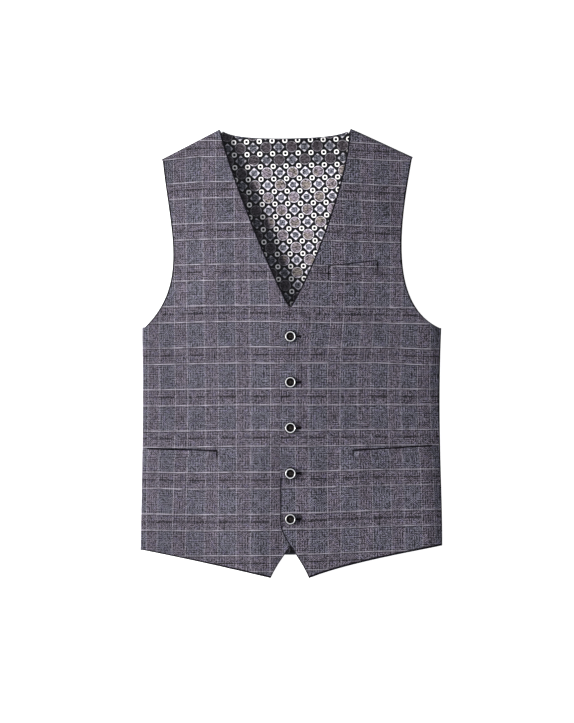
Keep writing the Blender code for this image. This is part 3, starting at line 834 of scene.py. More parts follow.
def front_grid(front):
    """Points and flat map of a front's outer face."""
    side, extra = front["side"], ROLL_STEPS + UNDERLAP_STEPS
    last = ROWS_LOW + ROWS_HIGH
    points = np.full((COLUMNS + 1 + extra, last + 1 + extra, 3), np.nan)
    flat = np.zeros(points.shape[:2] + (2,))
    for row in range(last + 1):
        level = row / ROWS_LOW if row <= ROWS_LOW else 1 + (row - ROWS_LOW) / ROWS_HIGH
        if row == 1:
            level = EDGE_WIDTH / (front["v_foot"][1] - front["hem_tip"][1])
        strip = EDGE_WIDTH / np.linalg.norm(side_edge(front, level) - front_edge(front, level))
        armhole_strip = strip if level > 1 else 1 / COLUMNS
        inner = np.linspace(strip, 1 - armhole_strip, COLUMNS - 1)
        shares = np.concatenate([[0], inner, [1]])
        plan = front_row(front, shares, level)
        if row == 1:
            plan[:, 1] += HEM_SHADE_WIDER[side] * shares
        x, y = plan[:, 0], plan[:, 1]
        points[: COLUMNS + 1, row] = np.column_stack([x, y, front_height(front, x, y)])
        flat[: COLUMNS + 1, row] = cloth_map(side, x, y)
        if row <= ROWS_LOW:
            start, start_flat = points[COLUMNS, row], flat[COLUMNS, row]
            fold = rolled_fold(start[2], SIDE_UNDERLAP, FOLD_SQUARENESS[side])
            for step, (out, up, gone) in enumerate(fold, 1):
                points[COLUMNS + step, row] = (start[0] + side * out, start[1], up)
                flat[COLUMNS + step, row] = start_flat + (side * gone, 0)
    way = shoulder_out(front)
    for column in range(COLUMNS + 1):
        start, start_flat = points[column, last], flat[column, last]
        fold = rolled_fold(start[2], SHOULDER_UNDERLAP, FOLD_SQUARENESS[side])
        for step, (out, up, gone) in enumerate(fold, 1):
            points[column, last + step] = (*(start[:2] + way * out), up)
            flat[column, last + step] = start_flat + (0, gone)
    # Painted shade: the edge cells marked below take the dark facing finish, as a thin dark line.
    edge_y = points[0, :last, 1]
    edge_shaded = (edge_y < UNSHADED_EDGE_Y[0]) | (edge_y > UNSHADED_EDGE_Y[1])
    points[0, :last, 2] -= EDGE_DIP * edge_shaded
    points[1 : COLUMNS + 1, 0, 2] -= EDGE_DIP
    points[COLUMNS, ROWS_LOW + 1 : last, 2] -= EDGE_DIP
    edge_cells = np.zeros((points.shape[0] - 1, points.shape[1] - 1), bool)
    edge_cells[0, :last] = edge_shaded
    edge_cells[:COLUMNS, 0] = True
    edge_cells[COLUMNS - 1, ROWS_LOW:last] = True
    at_side, at_shoulder = EDGE_SHADE_FROM[side]
    edge_cells[COLUMNS + at_side :, :ROWS_LOW] = True
    edge_cells[:COLUMNS, last + at_shoulder :] = True
    return points, flat, edge_cells


def make_front(name, front):
    points, flat, edge_cells = front_grid(front)
    turn_over = front["side"] < 0
    return cloth_sheet(name, points, flat, FRONT_WALL, (suiting, facing_and_edge_shade), turn_over, edge_cells)


right_front = make_front("right_front_cloth", RIGHT_FRONT)
left_front = make_front("left_front_cloth", LEFT_FRONT)

# %% [markdown]
# ## The lining
#
# The lining is a satin printed with a small repeat such as neckties have: mottled discs with a
# pale ring and white diamonds with a dark flower take turns on a square lattice, and a small
# white ring with a dark eye sits in the middle of every four. The print is worked out as
# distances from the lattice's own centres, so its edges stay sharp at any size.

# %% Lining finish
PRINT_CELL = 0.0190
STEP_ACROSS, STEP_ALONG = (0.01918, 0.00062), (-0.00088, 0.01884)  # one cell on, one cell up
PRINT_MIDDLE, SPECK = (0.00263, 0.25430), 0.0015
GROUND, GROUND_LIGHT = rgb(3, 2, 5), rgb(16, 14, 20)
DISC_MAUVE, DISC_BROWN, RING_PALE = rgb(133, 122, 134), rgb(127, 118, 112), rgb(228, 222, 232)
# Colours of the discs and diamonds in the painted shade.
DISC_IN_SHADE, DIAMOND_IN_SHADE = rgb(84, 76, 83), rgb(226, 220, 230)
FLOWER_GREYS = rgb(6, 6, 12), rgb(128, 128, 140)
PRINT_WHITE, PRINT_CREAM = rgb(222, 216, 226), rgb(248, 244, 242)
PRINT_SOFT, SATIN_SLANT, PAINTED_SHADE_LESS = 0.00030, 0.0036, 0.38
DISC_REACH, RING_REACH, DIAMOND_REACH, FLOWER_EDGE = 0.0074, 0.0082, 0.0082, (0.0059, 0.0052)
DOT_REACH, DOT_EYE, DOT_SQUARENESS = 0.0036, 0.0020, 2.6  # 2 is round, and more is squarer
PAINTED_SHADE_LEVELS = (0.2800, 0.2880)  # painted shade: above this level the print is drawn darker, and also in a band beside the right front's neck edge, where its shadow falls
SHADE_START, SHADE_LEAN = (-0.0848, 0.3285), 0.386  # and beside the right front's neck edge


def make_lining():
    satin = Finish("printed_satin", Specular_IOR_Level=0.14)
    across, along = satin.cloth_place()
    dx, dy = across - PRINT_MIDDLE[0], along - PRINT_MIDDLE[1]
    cell_area = STEP_ACROSS[0] * STEP_ALONG[1] - STEP_ACROSS[1] * STEP_ALONG[0]
    p = dx * (STEP_ALONG[1] / cell_area) - dy * (STEP_ALONG[0] / cell_area)
    q = dy * (STEP_ACROSS[0] / cell_area) - dx * (STEP_ACROSS[1] / cell_area)
    is_disc = (((p + 0.5).whole() + (q + 0.5).whole()) * 0.5 + 0.25).part().ease(0.4, 0.6)
    is_diamond = 1 - is_disc
    x, y = ((p + 0.5).part() - 0.5) * PRINT_CELL, ((q + 0.5).part() - 0.5) * PRINT_CELL
    radius = (x * x + y * y) ** 0.5
    mottle = satin.noise(across * 400, along * 400, 2.0, detail=2.0)
    patch = satin.noise(across * 60, along * 60, 9.0)
    thread = satin.noise(across * 900, along * 160, 4.0, detail=1.0)
    speckle = satin.chance((across / SPECK).whole(), (along / SPECK).whole(), 6.0)
    ragged = (mottle - 0.5) * 0.0022

    def within(distance, reach):
        return distance.ease(reach + PRINT_SOFT, reach - PRINT_SOFT)

    slant = ((across - along) * (math.tau / SATIN_SLANT)).wave().ease(0.3, 0.9)
    colour = satin.mix(slant * 0.45 + thread * 0.3, GROUND, GROUND_LIGHT)
    disc = satin.mix(patch.ease(0.40, 0.62), DISC_MAUVE, DISC_BROWN)
    beside_edge = across - SHADE_START[0] - (SHADE_START[1] - along) * SHADE_LEAN
    # Painted shade: turned is 1 above the neck level and beside the right front's neck edge.
    turned = along.ease(*PAINTED_SHADE_LEVELS).most(beside_edge.ease(0.0030, -0.0030))
    disc = satin.mix(turned, disc, DISC_IN_SHADE)
    disc = satin.times(disc, (mottle * 1.6 + speckle * 1.6 - 0.87).most(0.10))
    ring = satin.mix(turned * 0.6, RING_PALE, DISC_IN_SHADE)
    ring = satin.times(ring, (mottle * 3.2 - 0.8).most(0.20))
    colour = satin.mix(is_disc * within(radius + ragged * 0.4, RING_REACH), colour, ring)
    colour = satin.mix(is_disc * within(radius + ragged, DISC_REACH), colour, disc)

    corner = x.size() + y.size()
    diamond = satin.mix(turned, PRINT_WHITE, DIAMOND_IN_SHADE)
    colour = satin.mix(is_diamond * within(corner, DIAMOND_REACH), colour, diamond)
    petals = (x.size() - y.size()).size() * 0.25
    # Where turned is 1 the dark flowers are drawn larger, as painted shade.
    flower = (radius + ragged * 2.0 + petals - turned * 0.0010).ease(*FLOWER_EDGE)
    grey = satin.mix((speckle * 0.6 + mottle * 0.9 - 0.25).ease(0.2, 0.8), *FLOWER_GREYS)
    colour = satin.mix(is_diamond * flower, colour, grey)

    # Painted shade: the print is drawn darker where turned is 1.
    colour = satin.times(colour, 1 - turned * PAINTED_SHADE_LESS)
    small_x, small_y = (p.part() - 0.5) * PRINT_CELL, (q.part() - 0.5) * PRINT_CELL
    square = small_x.size() ** DOT_SQUARENESS + small_y.size() ** DOT_SQUARENESS
    square = square ** (1 / DOT_SQUARENESS)
    colour = satin.mix(within(square, DOT_REACH), colour, PRINT_CREAM)
    colour = satin.mix(within(square, DOT_EYE), colour, GROUND)
    colour = satin.times(colour, thread * 0.3 + 0.85)
    satin.set(Base_Color=colour, Normal=satin.bump(thread, 0.00005, 0.5))
    satin.set(Roughness=thread * 0.12 + 0.40)
    return satin


lining = make_lining()
print("lining nodes:", len(lining.tree.nodes))

# %% [markdown]
# ## The back and its lining
#
# The back is one flat layer on the table, cut to the same sides and shoulders as the fronts,
# with a shallow neck that arches up off the table. The lining is made from the back's own
# points, moved up by the thickness of the cloth, so the two can't cross. The lining has a few
# slack swells of its own, between the side seams and the neck.

# %% Build the back and its lining
BACK_HEM_MIDDLE_Y = -0.3015
NECK_MIDDLE = (-0.0090, 0.3225)
NECK_PULL = ((-0.0700, 0.3190), (0.0450, 0.3215))
NECK_RISE, NECK_RISE_DEPTH, NECK_RISE_HALF_WIDTH = 0.0080, 0.044, 0.086
NECK_EAR, NECK_EAR_REACH = 0.0040, 0.10  # the neckline's ends turn up beside the shoulders
ARMHOLE_SETBACK, LINING_HEM_SETBACK, LINING_NECK_SETBACK = 0.0020, 0.0030, 0.0016
BACK_COLUMNS = {"shoulder": 22, "neck": 50}
BACK_ROWS = {"body": 60, "armhole": 72}
SLACK = (  # with the columns of the creases
    (-0.030, 0.200, 100, 0.070, 0.020, 0.0007),
    (0.030, 0.240, 70, 0.060, 0.018, -0.0005),
    (-0.010, 0.120, 86, 0.050, 0.015, 0.0005),
    (-0.060, 0.285, 30, 0.030, 0.010, 0.0005),
    (0.120, -0.060, 80, 0.090, 0.030, 0.0008),
    (-0.120, -0.100, 96, 0.080, 0.026, 0.0007),
)


def seam_side(front, level):
    edge = side_edge(front, level)
    edge[0] -= front["side"] * (SIDE_UNDERLAP + SEAM_GAP)
    return edge


def seam_shoulder(front, share):
    inset = shoulder_out(front) * (FOLD_HEIGHT / 2 + SHOULDER_UNDERLAP + SEAM_GAP)
    return blend(front["neck_point"], front["shoulder_tip"], share) - inset


def back_side(front, level):
    if level <= 1:
        return seam_side(front, level)
    inward = np.array((-front["side"] * ARMHOLE_SETBACK, 0))
    pull = [np.array(point) + inward for point in front["armhole_pull"]]
    return bezier(seam_side(front, 1), pull, seam_shoulder(front, 1) + inward, level - 1)


def back_top(shares):
    """The two shoulder seams and the neckline between them."""
    shoulder = BACK_COLUMNS["shoulder"] / (2 * BACK_COLUMNS["shoulder"] + BACK_COLUMNS["neck"])
    right, left = seam_shoulder(RIGHT_FRONT, 0), seam_shoulder(LEFT_FRONT, 0)
    neck_share = np.clip((shares - shoulder) / (1 - 2 * shoulder), 0, 1)
    line = bezier(right, NECK_PULL, left, neck_share)
    from_end = np.minimum(neck_share, 1 - neck_share)
    ear = np.exp(-from_end / NECK_EAR_REACH) * ease(from_end, 0, 0.02)
    line[:, 1] += NECK_EAR * ear
    on_right = blend(back_side(RIGHT_FRONT, 2), right, np.clip(shares / shoulder, 0, 1))
    up_left = np.clip((shares - 1 + shoulder) / shoulder, 0, 1)
    on_left = blend(left, back_side(LEFT_FRONT, 2), up_left)
    line = np.where((shares < shoulder)[:, None], on_right, line)
    return np.where((shares > 1 - shoulder)[:, None], on_left, line)


def back_row(shares, level):
    right, left = back_side(RIGHT_FRONT, level), back_side(LEFT_FRONT, level)
    row = blend(right, left, shares)
    hem = blend(back_side(RIGHT_FRONT, 0), back_side(LEFT_FRONT, 0), shares)
    hem_edge = hem.copy()
    hem_edge[:, 1] += (BACK_HEM_MIDDLE_Y - hem[:, 1]) * 4 * shares * (1 - shares)
    top = blend(back_side(RIGHT_FRONT, 2), back_side(LEFT_FRONT, 2), shares)
    row = row + (hem_edge - hem) * (1 - level / 2) ** 3
    return row + (back_top(shares) - top) * (level / 2) ** 3


def neck_arch(x, y):
    """How far the back neck stands off the table."""
    across = np.clip(np.abs((x - NECK_MIDDLE[0]) / NECK_RISE_HALF_WIDTH), 0, 1)
    up = np.clip((y - NECK_MIDDLE[1]) / NECK_RISE_DEPTH + 1, 0, 1.3)
    return NECK_RISE * up**2 * (1 - across**2) ** 2


def back_grid(base, hem_setback=0.0, neck_setback=0.0, slack_share=0.0):
    """Points and flat map of one face of the back, at this height over the table."""
    columns = 2 * BACK_COLUMNS["shoulder"] + BACK_COLUMNS["neck"]
    rows = BACK_ROWS["body"] + BACK_ROWS["armhole"]
    shares = np.linspace(0, 1, columns + 1)
    points = np.zeros((columns + 1, rows + 1, 3))
    for row in range(rows + 1):
        low = row <= BACK_ROWS["body"]
        above = (row - BACK_ROWS["body"]) / BACK_ROWS["armhole"]
        plan = back_row(shares, row / BACK_ROWS["body"] if low else 1 + above)
        if row == 0:
            plan[:, 1] += hem_setback
        plan[:, 1] -= neck_setback * max(0, above) ** 12
        x, y = plan[:, 0], plan[:, 1]
        up = base + neck_arch(x, y) + slack_share * np.maximum(0, swells(SLACK, x, y))
        points[:, row] = np.column_stack([x, y, up])
    return points, points[..., :2].copy()


outer_back = cloth_sheet(
    "outer_back_cloth", *back_grid(0.0), BACK_WALL, (back_satin,), turn_over=True
)
lining_base = BACK_WALL + SEAM_GAP + LINING_WALL
back_lining = cloth_sheet(
    "back_lining_cloth",
    *back_grid(lining_base, LINING_HEM_SETBACK, LINING_NECK_SETBACK, 1.0),
    LINING_WALL,
    (lining, back_satin),
)

# %% [markdown]
# ## Pocket welts
#
# A welt is a folded strip of the suiting sewn over a pocket's mouth. Its upper edge is free
# and stands a little proud. Its lower edge is turned in and sewn down. The strip is made from the
# front's own surface, moved out, and its cross-section does the rest: sewn foot, low swell and
# rounded upper edge. Behind that edge a thin strip of near-black pocketing is painted shade,
# the dark of the pocket's open mouth.

# %% Build the welts
WELT_COLUMNS = ("name", "side", "inner_x", "outer_x", "inner_top_y", "outer_top_y")
WELT_COLUMNS += ("height", "slip", "mouth")
WELT_ROWS = (
    ("chest_welt_cloth", 1, 0.0545, 0.1287, 0.1305, 0.1390, 0.0210, 0.0, 0.0016),
    ("left_welt_cloth", 1, 0.0910, 0.2110, -0.1450, -0.1382, 0.0100, 0.0015, 0.0022),
    ("right_welt_cloth", -1, -0.1113, -0.2165, -0.1455, -0.1428, 0.0100, -0.0020, 0.0022),
)
WELTS = [dict(zip(WELT_COLUMNS, row)) for row in WELT_ROWS]
FRONTS = {1: LEFT_FRONT, -1: RIGHT_FRONT}
STRIP_WALL, MOUTH_WALL, MOUTH_LIFT, MOUTH_TUCK = 0.0005, 0.0003, 0.0004, 0.0004
SEWN_END, SEWN_END_LIFT, WELT_STEPS = 0.0100, 0.12, 64
# share of the welt's height, and lift over the front, from the sewn foot to the free edge
WELT_SECTION = (
    (0.00, 0.0002),
    (0.08, 0.0006),
    (0.20, 0.0010),
    (0.40, 0.0014),
    (0.65, 0.0017),
    (0.85, 0.0018),
    (0.95, 0.0017),
    (1.00, 0.0013),
)
# Painted shade: a near-black strip behind each welt's top edge, for the dark of the pocket's mouth.
pocketing = Finish("pocketing", Roughness=0.9, Specular_IOR_Level=0.03)
px, py, pz = pocketing.solid_place()
pocket_weave = pocketing.noise(px * 900, py * 900, pz * 900)
pocketing.set(Base_Color=pocketing.mix(pocket_weave, rgb(5, 4, 6), rgb(20, 17, 22)))
pocketing.set(Normal=pocketing.bump(pocket_weave, 0.0001, 0.5))


def welt_strip(welt, section):
    """A strip over a welt, for a section of (distance up from its foot, lift) rows."""
    front = FRONTS[welt["side"]]
    share = np.linspace(0, 1, WELT_STEPS + 1)
    x = welt["inner_x"] + (welt["outer_x"] - welt["inner_x"]) * share
    top = welt["inner_top_y"] + (welt["outer_top_y"] - welt["inner_top_y"]) * share
    points = np.zeros((WELT_STEPS + 1, len(section), 3))
    flat = np.zeros((WELT_STEPS + 1, len(section), 2))
    ends = np.minimum(x - x.min(), x.max() - x)
    sewn_end = SEWN_END_LIFT + (1 - SEWN_END_LIFT) * ease(ends, 0, SEWN_END)
    for j, (up, lift) in enumerate(section):
        y = top - welt["height"] + up
        points[:, j] = np.column_stack([x, y, front_height(front, x, y) + lift * sewn_end])
        flat[:, j] = cloth_map(welt["side"], x + welt["slip"], y + 0.4 * welt["slip"])
    return points, flat


def make_welt(welt):
    section = [(share * welt["height"], lift) for share, lift in WELT_SECTION]
    behind = [(welt["height"] + out, MOUTH_LIFT) for out in (-MOUTH_TUCK, 0.0, welt["mouth"])]
    turn_over, mouth_name = welt["side"] < 0, welt["name"].replace("welt", "mouth")
    strip = cloth_sheet(welt["name"], *welt_strip(welt, section), STRIP_WALL, (suiting,), turn_over)
    mouth = cloth_sheet(mouth_name, *welt_strip(welt, behind), MOUTH_WALL, (pocketing,), turn_over)
    return strip, mouth


welts = [make_welt(welt) for welt in WELTS]

# %% [markdown]
# ## Buttons
#
# The buttons are turned: a dark dished middle with four holes, a bright metal ring standing in
# a groove, and a thin dark flange outside it. A turned shape is a profile swept round an axis, so
# the script sweeps (radius, height) points. The holes are pressed into the dish afterwards, and
# two bars of thread hold the button down. Each button sits where its solid sits.

# %% Button finishes
STRAND_PITCH = 0.0006

horn = Finish("button_horn", Specular_IOR_Level=0.06, Coat_Weight=0.03, Coat_Roughness=0.2)
hx, hy, hz = horn.solid_place()
horn_streaks = horn.noise(hx * 420, hy * 900, hz * 700, detail=3.0)
horn.set(Base_Color=horn.mix(horn_streaks.ease(0.35, 0.75), rgb(4, 4, 5), rgb(26, 22, 21)))
horn.set(Roughness=horn_streaks * 0.25 + 0.28)

ring_metal = Finish("button_ring_metal", Metallic=1.0)
rx, ry, rz = ring_metal.solid_place()
brushing = ring_metal.noise(rx * 1600, ry * 1600, rz * 1600, detail=2.0)
ring_metal.set(Base_Color=ring_metal.mix(brushing, rgb(226, 224, 220), rgb(250, 249, 247)))
ring_metal.set(Roughness=brushing * 0.20 + 0.24)


def twisted(finish):
    """Strands of two tones."""
    x, y, z = finish.solid_place()
    return ((x + y * 0.7 + z) * (math.tau / STRAND_PITCH)).wave() * 0.5 + 0.5


thread = Finish("sewing_thread", Roughness=0.75, Specular_IOR_Level=0.02)
thread_twist = twisted(thread)
thread.set(Base_Color=thread.mix(thread_twist, rgb(3, 3, 4), rgb(16, 13, 15)))
thread.set(Normal=thread.bump(thread_twist, 0.00006, 0.6))

bar_thread = Finish("button_thread", Roughness=0.75, Specular_IOR_Level=0.1)
bar_thread.set(Base_Color=bar_thread.mix(twisted(bar_thread), rgb(34, 30, 28), rgb(96, 88, 80)))

# %% Turn the buttons
BUTTON_COUNT = 5
SEATED = 0.0008  # how much lower than its solid a button is drawn down by its thread
BUTTON_RADIUS, BUTTON_THICKNESS = 0.0088, 0.0028
RIM_INNER, RIM_OUTER, RIM_HEIGHT, GROOVE_FLOOR = 0.0063, 0.0074, 0.0031, 0.0016
RIM_CROWN = 0.0004
LIP, DISH_FLOOR = RIM_INNER - 0.0008, 0.0017  # a dark groove parts the lip from the ring
FLANGE = [(0.0075, GROOVE_FLOOR), (0.0077, 0.0022), (0.0085, 0.0021), (BUTTON_RADIUS, 0.0017)]
UNDERSIDE = [(BUTTON_RADIUS, 0.0009), (0.0085, 0.0004), (0.0078, 0.0), (0.0, 0.0)]
HOLE_PLACE, HOLE_RADIUS, HOLE_DEPTH = 0.00125, 0.00072, 0.0011
TURNING_STEPS = 72


def turned_mesh(name, profile, finish):
    """A closed shape swept from (radius, height) points about an upright axis."""
    profile = np.array(profile)
    turns = np.arange(TURNING_STEPS) * math.tau / TURNING_STEPS
    x = profile[:, 0, None] * np.cos(turns)
    y = profile[:, 0, None] * np.sin(turns)
    z = np.repeat(profile[:, 1, None], TURNING_STEPS, axis=1)
    points = np.stack([x, y, z], axis=-1).reshape(-1, 3)
    ring = np.arange(TURNING_STEPS)
    after = (ring + 1) % TURNING_STEPS
    loop_count = len(profile) if profile[0, 0] > 0 else len(profile) - 1
    faces = []
    for n in range(loop_count):
        this, other = n * TURNING_STEPS, (n + 1) % len(profile) * TURNING_STEPS
        faces += np.stack([this + ring, other + ring, other + after, this + after], 1).tolist()
    mesh = bpy.data.meshes.new(name)
    mesh.from_pydata(points.tolist(), [], faces)
    mesh.materials.append(finish.material)
    obj = add_object(name, mesh)
    weld = obj.modifiers.new("weld", "WELD")
    weld.merge_threshold = 0.000004
    made = plain_mesh(obj)
    made.data.shade_smooth()
    made.data.set_sharp_from_angle(angle=SHARP_ANGLE)
    return made


def button_profile():
    """From the middle of the dished top, over the flange, to the middle of the underside."""
    radii = np.linspace(0, LIP * 0.94, 30)
    rise = BUTTON_THICKNESS - DISH_FLOOR
    dish = [(r, DISH_FLOOR + rise * (r / LIP) ** 3) for r in radii]
    lip = [(LIP * 0.985, BUTTON_THICKNESS * 0.995), (LIP, BUTTON_THICKNESS * 0.95)]
    return dish + lip + [(LIP, GROOVE_FLOOR)] + FLANGE + UNDERSIDE


def rim_profile():
    """A hoop with a nearly flat top and rounded corners, from one foot over to the other."""
    base, middle = GROOVE_FLOOR + 0.0001, (RIM_INNER + RIM_OUTER) / 2
    half, shoulder = (RIM_OUTER - RIM_INNER) / 2, RIM_HEIGHT - RIM_CROWN
    crown = []
    for turn in np.linspace(math.pi, 0, 15):
        out = math.copysign(abs(math.cos(turn)) ** 0.5, math.cos(turn))
        crown.append((middle + half * out, shoulder + RIM_CROWN * math.sin(turn) ** 0.5))
    return [(RIM_INNER, base), *crown, (RIM_OUTER, base)]


def press_holes(mesh):
    """Pushes the four thread holes into the dish."""
    for vertex in mesh.vertices:
        x, y, z = vertex.co
        if z > DISH_FLOOR * 0.9 and math.hypot(x, y) < LIP * 0.8:
            gap = math.hypot(abs(x) - HOLE_PLACE, abs(y) - HOLE_PLACE)
            vertex.co.z -= HOLE_DEPTH * float(1 - ease(gap, HOLE_RADIUS * 0.75, HOLE_RADIUS * 1.15))


# %% [markdown]
# ## Thread
#
# Thread bars and buttonhole stitches are many small alike things along a path, which is what
# Geometry Nodes are for. One tree serves both: it puts a stitch across the path every so many
# tenths of a millimetre, each a little different in length and lean, and turns them all into
# one mesh. Its sizes are inputs, and its seed is fixed, so it makes the same stitches each run.


# %% The stitching tree
STITCH_SIZES = ("Spacing", "Stitch length", "Thread width", "Height")
LEAN, LENGTH_SPREAD = (-0.16, 0.16), (0.86, 1.12)


def stitching_tree():
    tree = bpy.data.node_groups.new("stitches_along_a_path", "GeometryNodeTree")

    def socket(name, kind, in_out="INPUT"):
        tree.interface.new_socket(name, in_out=in_out, socket_type="NodeSocket" + kind)

    def add(kind, inputs=None, **settings):
        """The outputs of a new node."""
        node = tree.nodes.new(kind)
        for name, value in settings.items():
            setattr(node, name, value)
        for key, value in (inputs or {}).items():
            if isinstance(value, bpy.types.NodeSocket):
                tree.links.new(value, node.inputs[key])
            else:
                node.inputs[key].default_value = value
        return node.outputs

    def chance(between, seed):
        inputs = {2: between[0], 3: between[1], "Seed": seed}
        return add("FunctionNodeRandomValue", inputs, data_type="FLOAT")[1]

    socket("Path", "Geometry")
    for name in STITCH_SIZES:
        socket(name, "Float")
    socket("Seed", "Int")
    socket("Thread", "Material")
    socket("Stitches", "Geometry", "OUTPUT")

    given = add("NodeGroupInput")
    level = add("GeometryNodeSetCurveNormal", {"Curve": given["Path"]}, mode="Z_UP")[0]
    every = {"Curve": level, "Length": given["Spacing"]}
    spots = add("GeometryNodeCurveToPoints", every, mode="LENGTH")
    bead = add("GeometryNodeMeshUVSphere", {"Segments": 8, "Rings": 6, "Radius": 0.5})[0]
    smooth = add("GeometryNodeSetShadeSmooth", {0: bead})[0]
    across = {"Vector": spots["Normal"]}
    lie = add("FunctionNodeAlignRotationToVector", across, axis="X", pivot_axis="Z")[0]
    twist = add("ShaderNodeCombineXYZ", {2: chance(LEAN, given["Seed"])})[0]
    turn = add("FunctionNodeEulerToRotation", {0: twist})[0]
    both = {"Rotation": lie, "Rotate By": turn}
    turned = add("FunctionNodeRotateRotation", both, rotation_space="LOCAL")[0]
    next_seed = add("ShaderNodeMath", {0: given["Seed"], 1: 7.0}, operation="ADD")[0]
    factors = {0: given["Stitch length"], 1: chance(LENGTH_SPREAD, next_seed)}
    length = add("ShaderNodeMath", factors, operation="MULTIPLY")[0]
    sizes = {0: length, 1: given["Thread width"], 2: given["Height"]}
    scale = add("ShaderNodeCombineXYZ", sizes)[0]
    placed = {"Points": spots["Points"], "Instance": smooth, "Rotation": turned, "Scale": scale}
    row = add("GeometryNodeInstanceOnPoints", placed)[0]
    real = add("GeometryNodeRealizeInstances", {0: row})[0]
    painted = add("GeometryNodeSetMaterial", {0: real, "Material": given["Thread"]})[0]
    add("NodeGroupOutput", {0: painted})
    return tree


stitches = stitching_tree()


def sew(name, paths, sizes, seed, finish):
    """Stitches of these sizes across each of these paths, as one mesh."""
    curve = bpy.data.curves.new(name, "CURVE")
    curve.dimensions = "3D"
    for path in paths:
        spline = curve.splines.new("POLY")
        spline.points.add(len(path) - 1)
        spline.points.foreach_set("co", [v for place in path for v in (*place, 1.0)])
    obj = add_object(name, curve)
    sewing = obj.modifiers.new("sewing", "NODES")
    sewing.node_group = stitches
    values = dict(zip(STITCH_SIZES, sizes), Seed=seed, Thread=finish.material)
    for item in stitches.interface.items_tree:
        if item.in_out == "INPUT" and item.name in values:
            sewing[item.identifier] = values[item.name]
    made = plain_mesh(obj)
    print(name, "faces:", len(made.data.polygons))
    return made


# %% Set the buttons and sew them down
BAR_STITCH = (0.00016, 0.00030, 0.00034, 0.00028)
STRAND_GAP, BAR_LIFT, BAR_DIP = 0.00024, 0.00034, 0.9 * HOLE_DEPTH


def seat_of(number):
    """Where a button's solid stands: a matrix that takes a level button to it."""
    low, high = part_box(f"button_{number}")
    middle = (low + high) / 2
    reach = (high.y - low.y) / 2
    ends = front_height(LEFT_FRONT, middle.x, np.array([-reach, reach]) + middle.y)
    tilt = math.atan((ends[1] - ends[0]) / (2 * reach))
    down = Vector((0, -math.sin(tilt), math.cos(tilt))) * (BUTTON_THICKNESS / 2 + SEATED)
    return Matrix.Translation(middle - down) @ Matrix.Rotation(tilt, 4, "X")


def thread_bars(number):
    """Two bars of thread over the holes, each of three strands, as paths in place."""
    seat = seat_of(number)
    xs = np.linspace(-HOLE_PLACE, HOLE_PLACE, 9)
    lift = DISH_FLOOR + BAR_LIFT - BAR_DIP * (np.abs(xs) / HOLE_PLACE) ** 6
    rows = [side * HOLE_PLACE + strand * STRAND_GAP for side in (-1, 1) for strand in (-1, 0, 1)]
    return [[seat @ Vector((x, y, z)) for x, z in zip(xs, lift)] for y in rows]


buttons = []
for number in range(1, BUTTON_COUNT + 1):
    body = turned_mesh(f"button_body_{number}", button_profile(), horn)
    press_holes(body.data)
    rim = turned_mesh(f"button_ring_{number}", rim_profile(), ring_metal)
    for piece in (body, rim):
        piece.data.transform(seat_of(number))
    bars = sew(f"button_thread_{number}", thread_bars(number), BAR_STITCH, number, bar_thread)
    buttons.append((body, rim, bars))
print("buttons:", len(buttons))

# %% [markdown]
# ## Buttonholes
#
# Each buttonhole is a slit with close stitches all round it, in black thread. It runs level
# from behind the button to a round eye, which shows beside the button as a small dark knob.
# The stitching tree follows a path round the slit and the eye. The same tree makes the short
# tacks that close the ends of the pocket welts.

# %% Sew the buttonholes and the welt tacks
HOLE_START, EYE_X, EYE_RADIUS, SLIT_HALF = -0.0100, 0.0130, 0.0014, 0.0003
HOLE_LIFT, TACK_LIFT, TACK_INSET = 0.00002, 0.0010, 0.0006
HOLE_STITCH, TACK_STITCH = (0.00038, 0.0021, 0.00052, 0.00070), (0.00055, 0.0019, 0.00054, 0.00070)


def on_front(front, x, y, lift):
    return [float(x), float(y), float(front_height(front, np.float64(x), np.float64(y))) + lift]


def buttonhole_path(number):
    """Round one slit and its eye, on the left front's surface."""
    low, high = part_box(f"button_{number}")
    y = (low.y + high.y) / 2
    upper = [(x, y + SLIT_HALF) for x in np.linspace(HOLE_START, EYE_X - EYE_RADIUS, 24)]
    turns = np.linspace(math.radians(150), math.radians(-150), 22)
    eye = [(EYE_X + EYE_RADIUS * math.cos(t), y + EYE_RADIUS * math.sin(t)) for t in turns]
    lower = [(x, 2 * y - up) for x, up in reversed(upper)]
    return [on_front(LEFT_FRONT, *place, HOLE_LIFT) for place in upper + eye + lower]


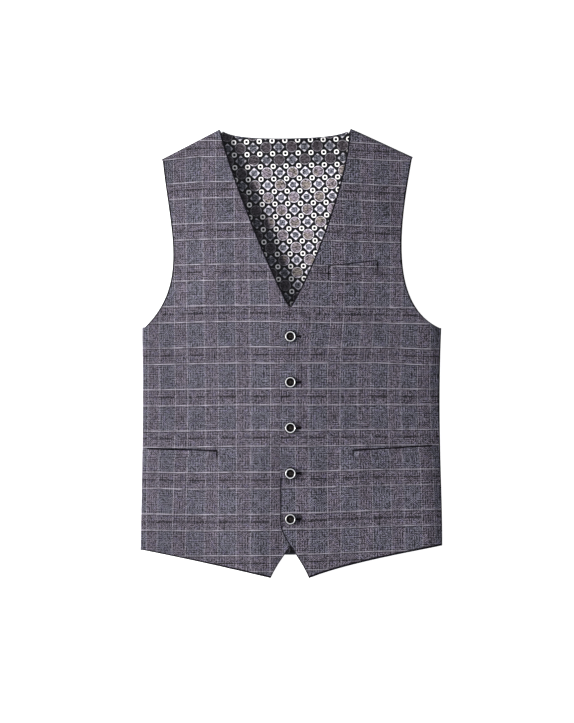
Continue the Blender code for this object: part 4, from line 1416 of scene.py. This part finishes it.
def tack_paths(welt):
    """Upright tacks at a welt's inner end, and at the chest welt's outer end too."""
    paths = []
    for end, inset in (("inner", TACK_INSET), ("outer", -TACK_INSET)):
        if end == "inner" or welt["name"].startswith("chest"):
            x, top = welt[end + "_x"] + inset * welt["side"], welt[end + "_top_y"]
            ys = np.linspace(top - welt["height"] * 0.96, top - 0.0002, 12)
            paths.append([on_front(FRONTS[welt["side"]], x, y, TACK_LIFT) for y in ys])
    return paths


holes = [buttonhole_path(number) for number in range(1, BUTTON_COUNT + 1)]
buttonholes = sew("buttonhole_stitches", holes, HOLE_STITCH, 3, thread)
tacks = sew("welt_tacks", [path for w in WELTS for path in tack_paths(w)], TACK_STITCH, 11, thread)

# %% [markdown]
# ## Handing the pieces over
#
# Every piece rides on the one body and stands for the solid that it covers. The cut of each
# sheet is worked out from the finished mesh: a sheet's two faces and rim, halved, are its cloth.


# %% Ride and replace
def cut_area(obj):
    """The area of a thin sheet: half of its closed skin."""
    return sum(face.area for face in obj.data.polygons) / 2


def hand_over(obj, slot, *nodes):
    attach(obj, "root")
    if nodes:
        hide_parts(*nodes)


CUTS = (  # piece, its solid, its finish, flat width and length, what it lies on
    (right_front, "front_right", "suiting", (0.262, 0.700), "back_lining_cloth"),
    (left_front, "front_left", "suiting", (0.262, 0.700), "right_front_cloth"),
    (outer_back, "back", "back_satin", (0.440, 0.640), "table_top"),
    (back_lining, "back_lining", "lining", (0.440, 0.640), "outer_back_cloth"),
)
for piece, node, slot_name, flat, under in CUTS:
    hand_over(piece, slot_name, node)
    print(piece.name, "cut, m2:", round(cut_area(piece), 4))
for welt, (strip, mouth) in zip(WELTS, welts):
    place = strip.name.split("_")[0]
    hand_over(strip, "suiting", f"welt_{place}")
    hand_over(mouth, "lining")
    under = "left_front_cloth" if welt["side"] > 0 else "right_front_cloth"
    width = abs(welt["outer_x"] - welt["inner_x"])
    flat = (width * 1.01, welt["height"] * 1.06)
for number, (body, rim, bars) in enumerate(buttons, 1):
    hand_over(body, "button", f"button_{number}")
    hand_over(rim, "button_rim", f"button_rim_{number}")
    hand_over(bars, "button")
for piece in (buttonholes, tacks):
    hand_over(piece, "button")
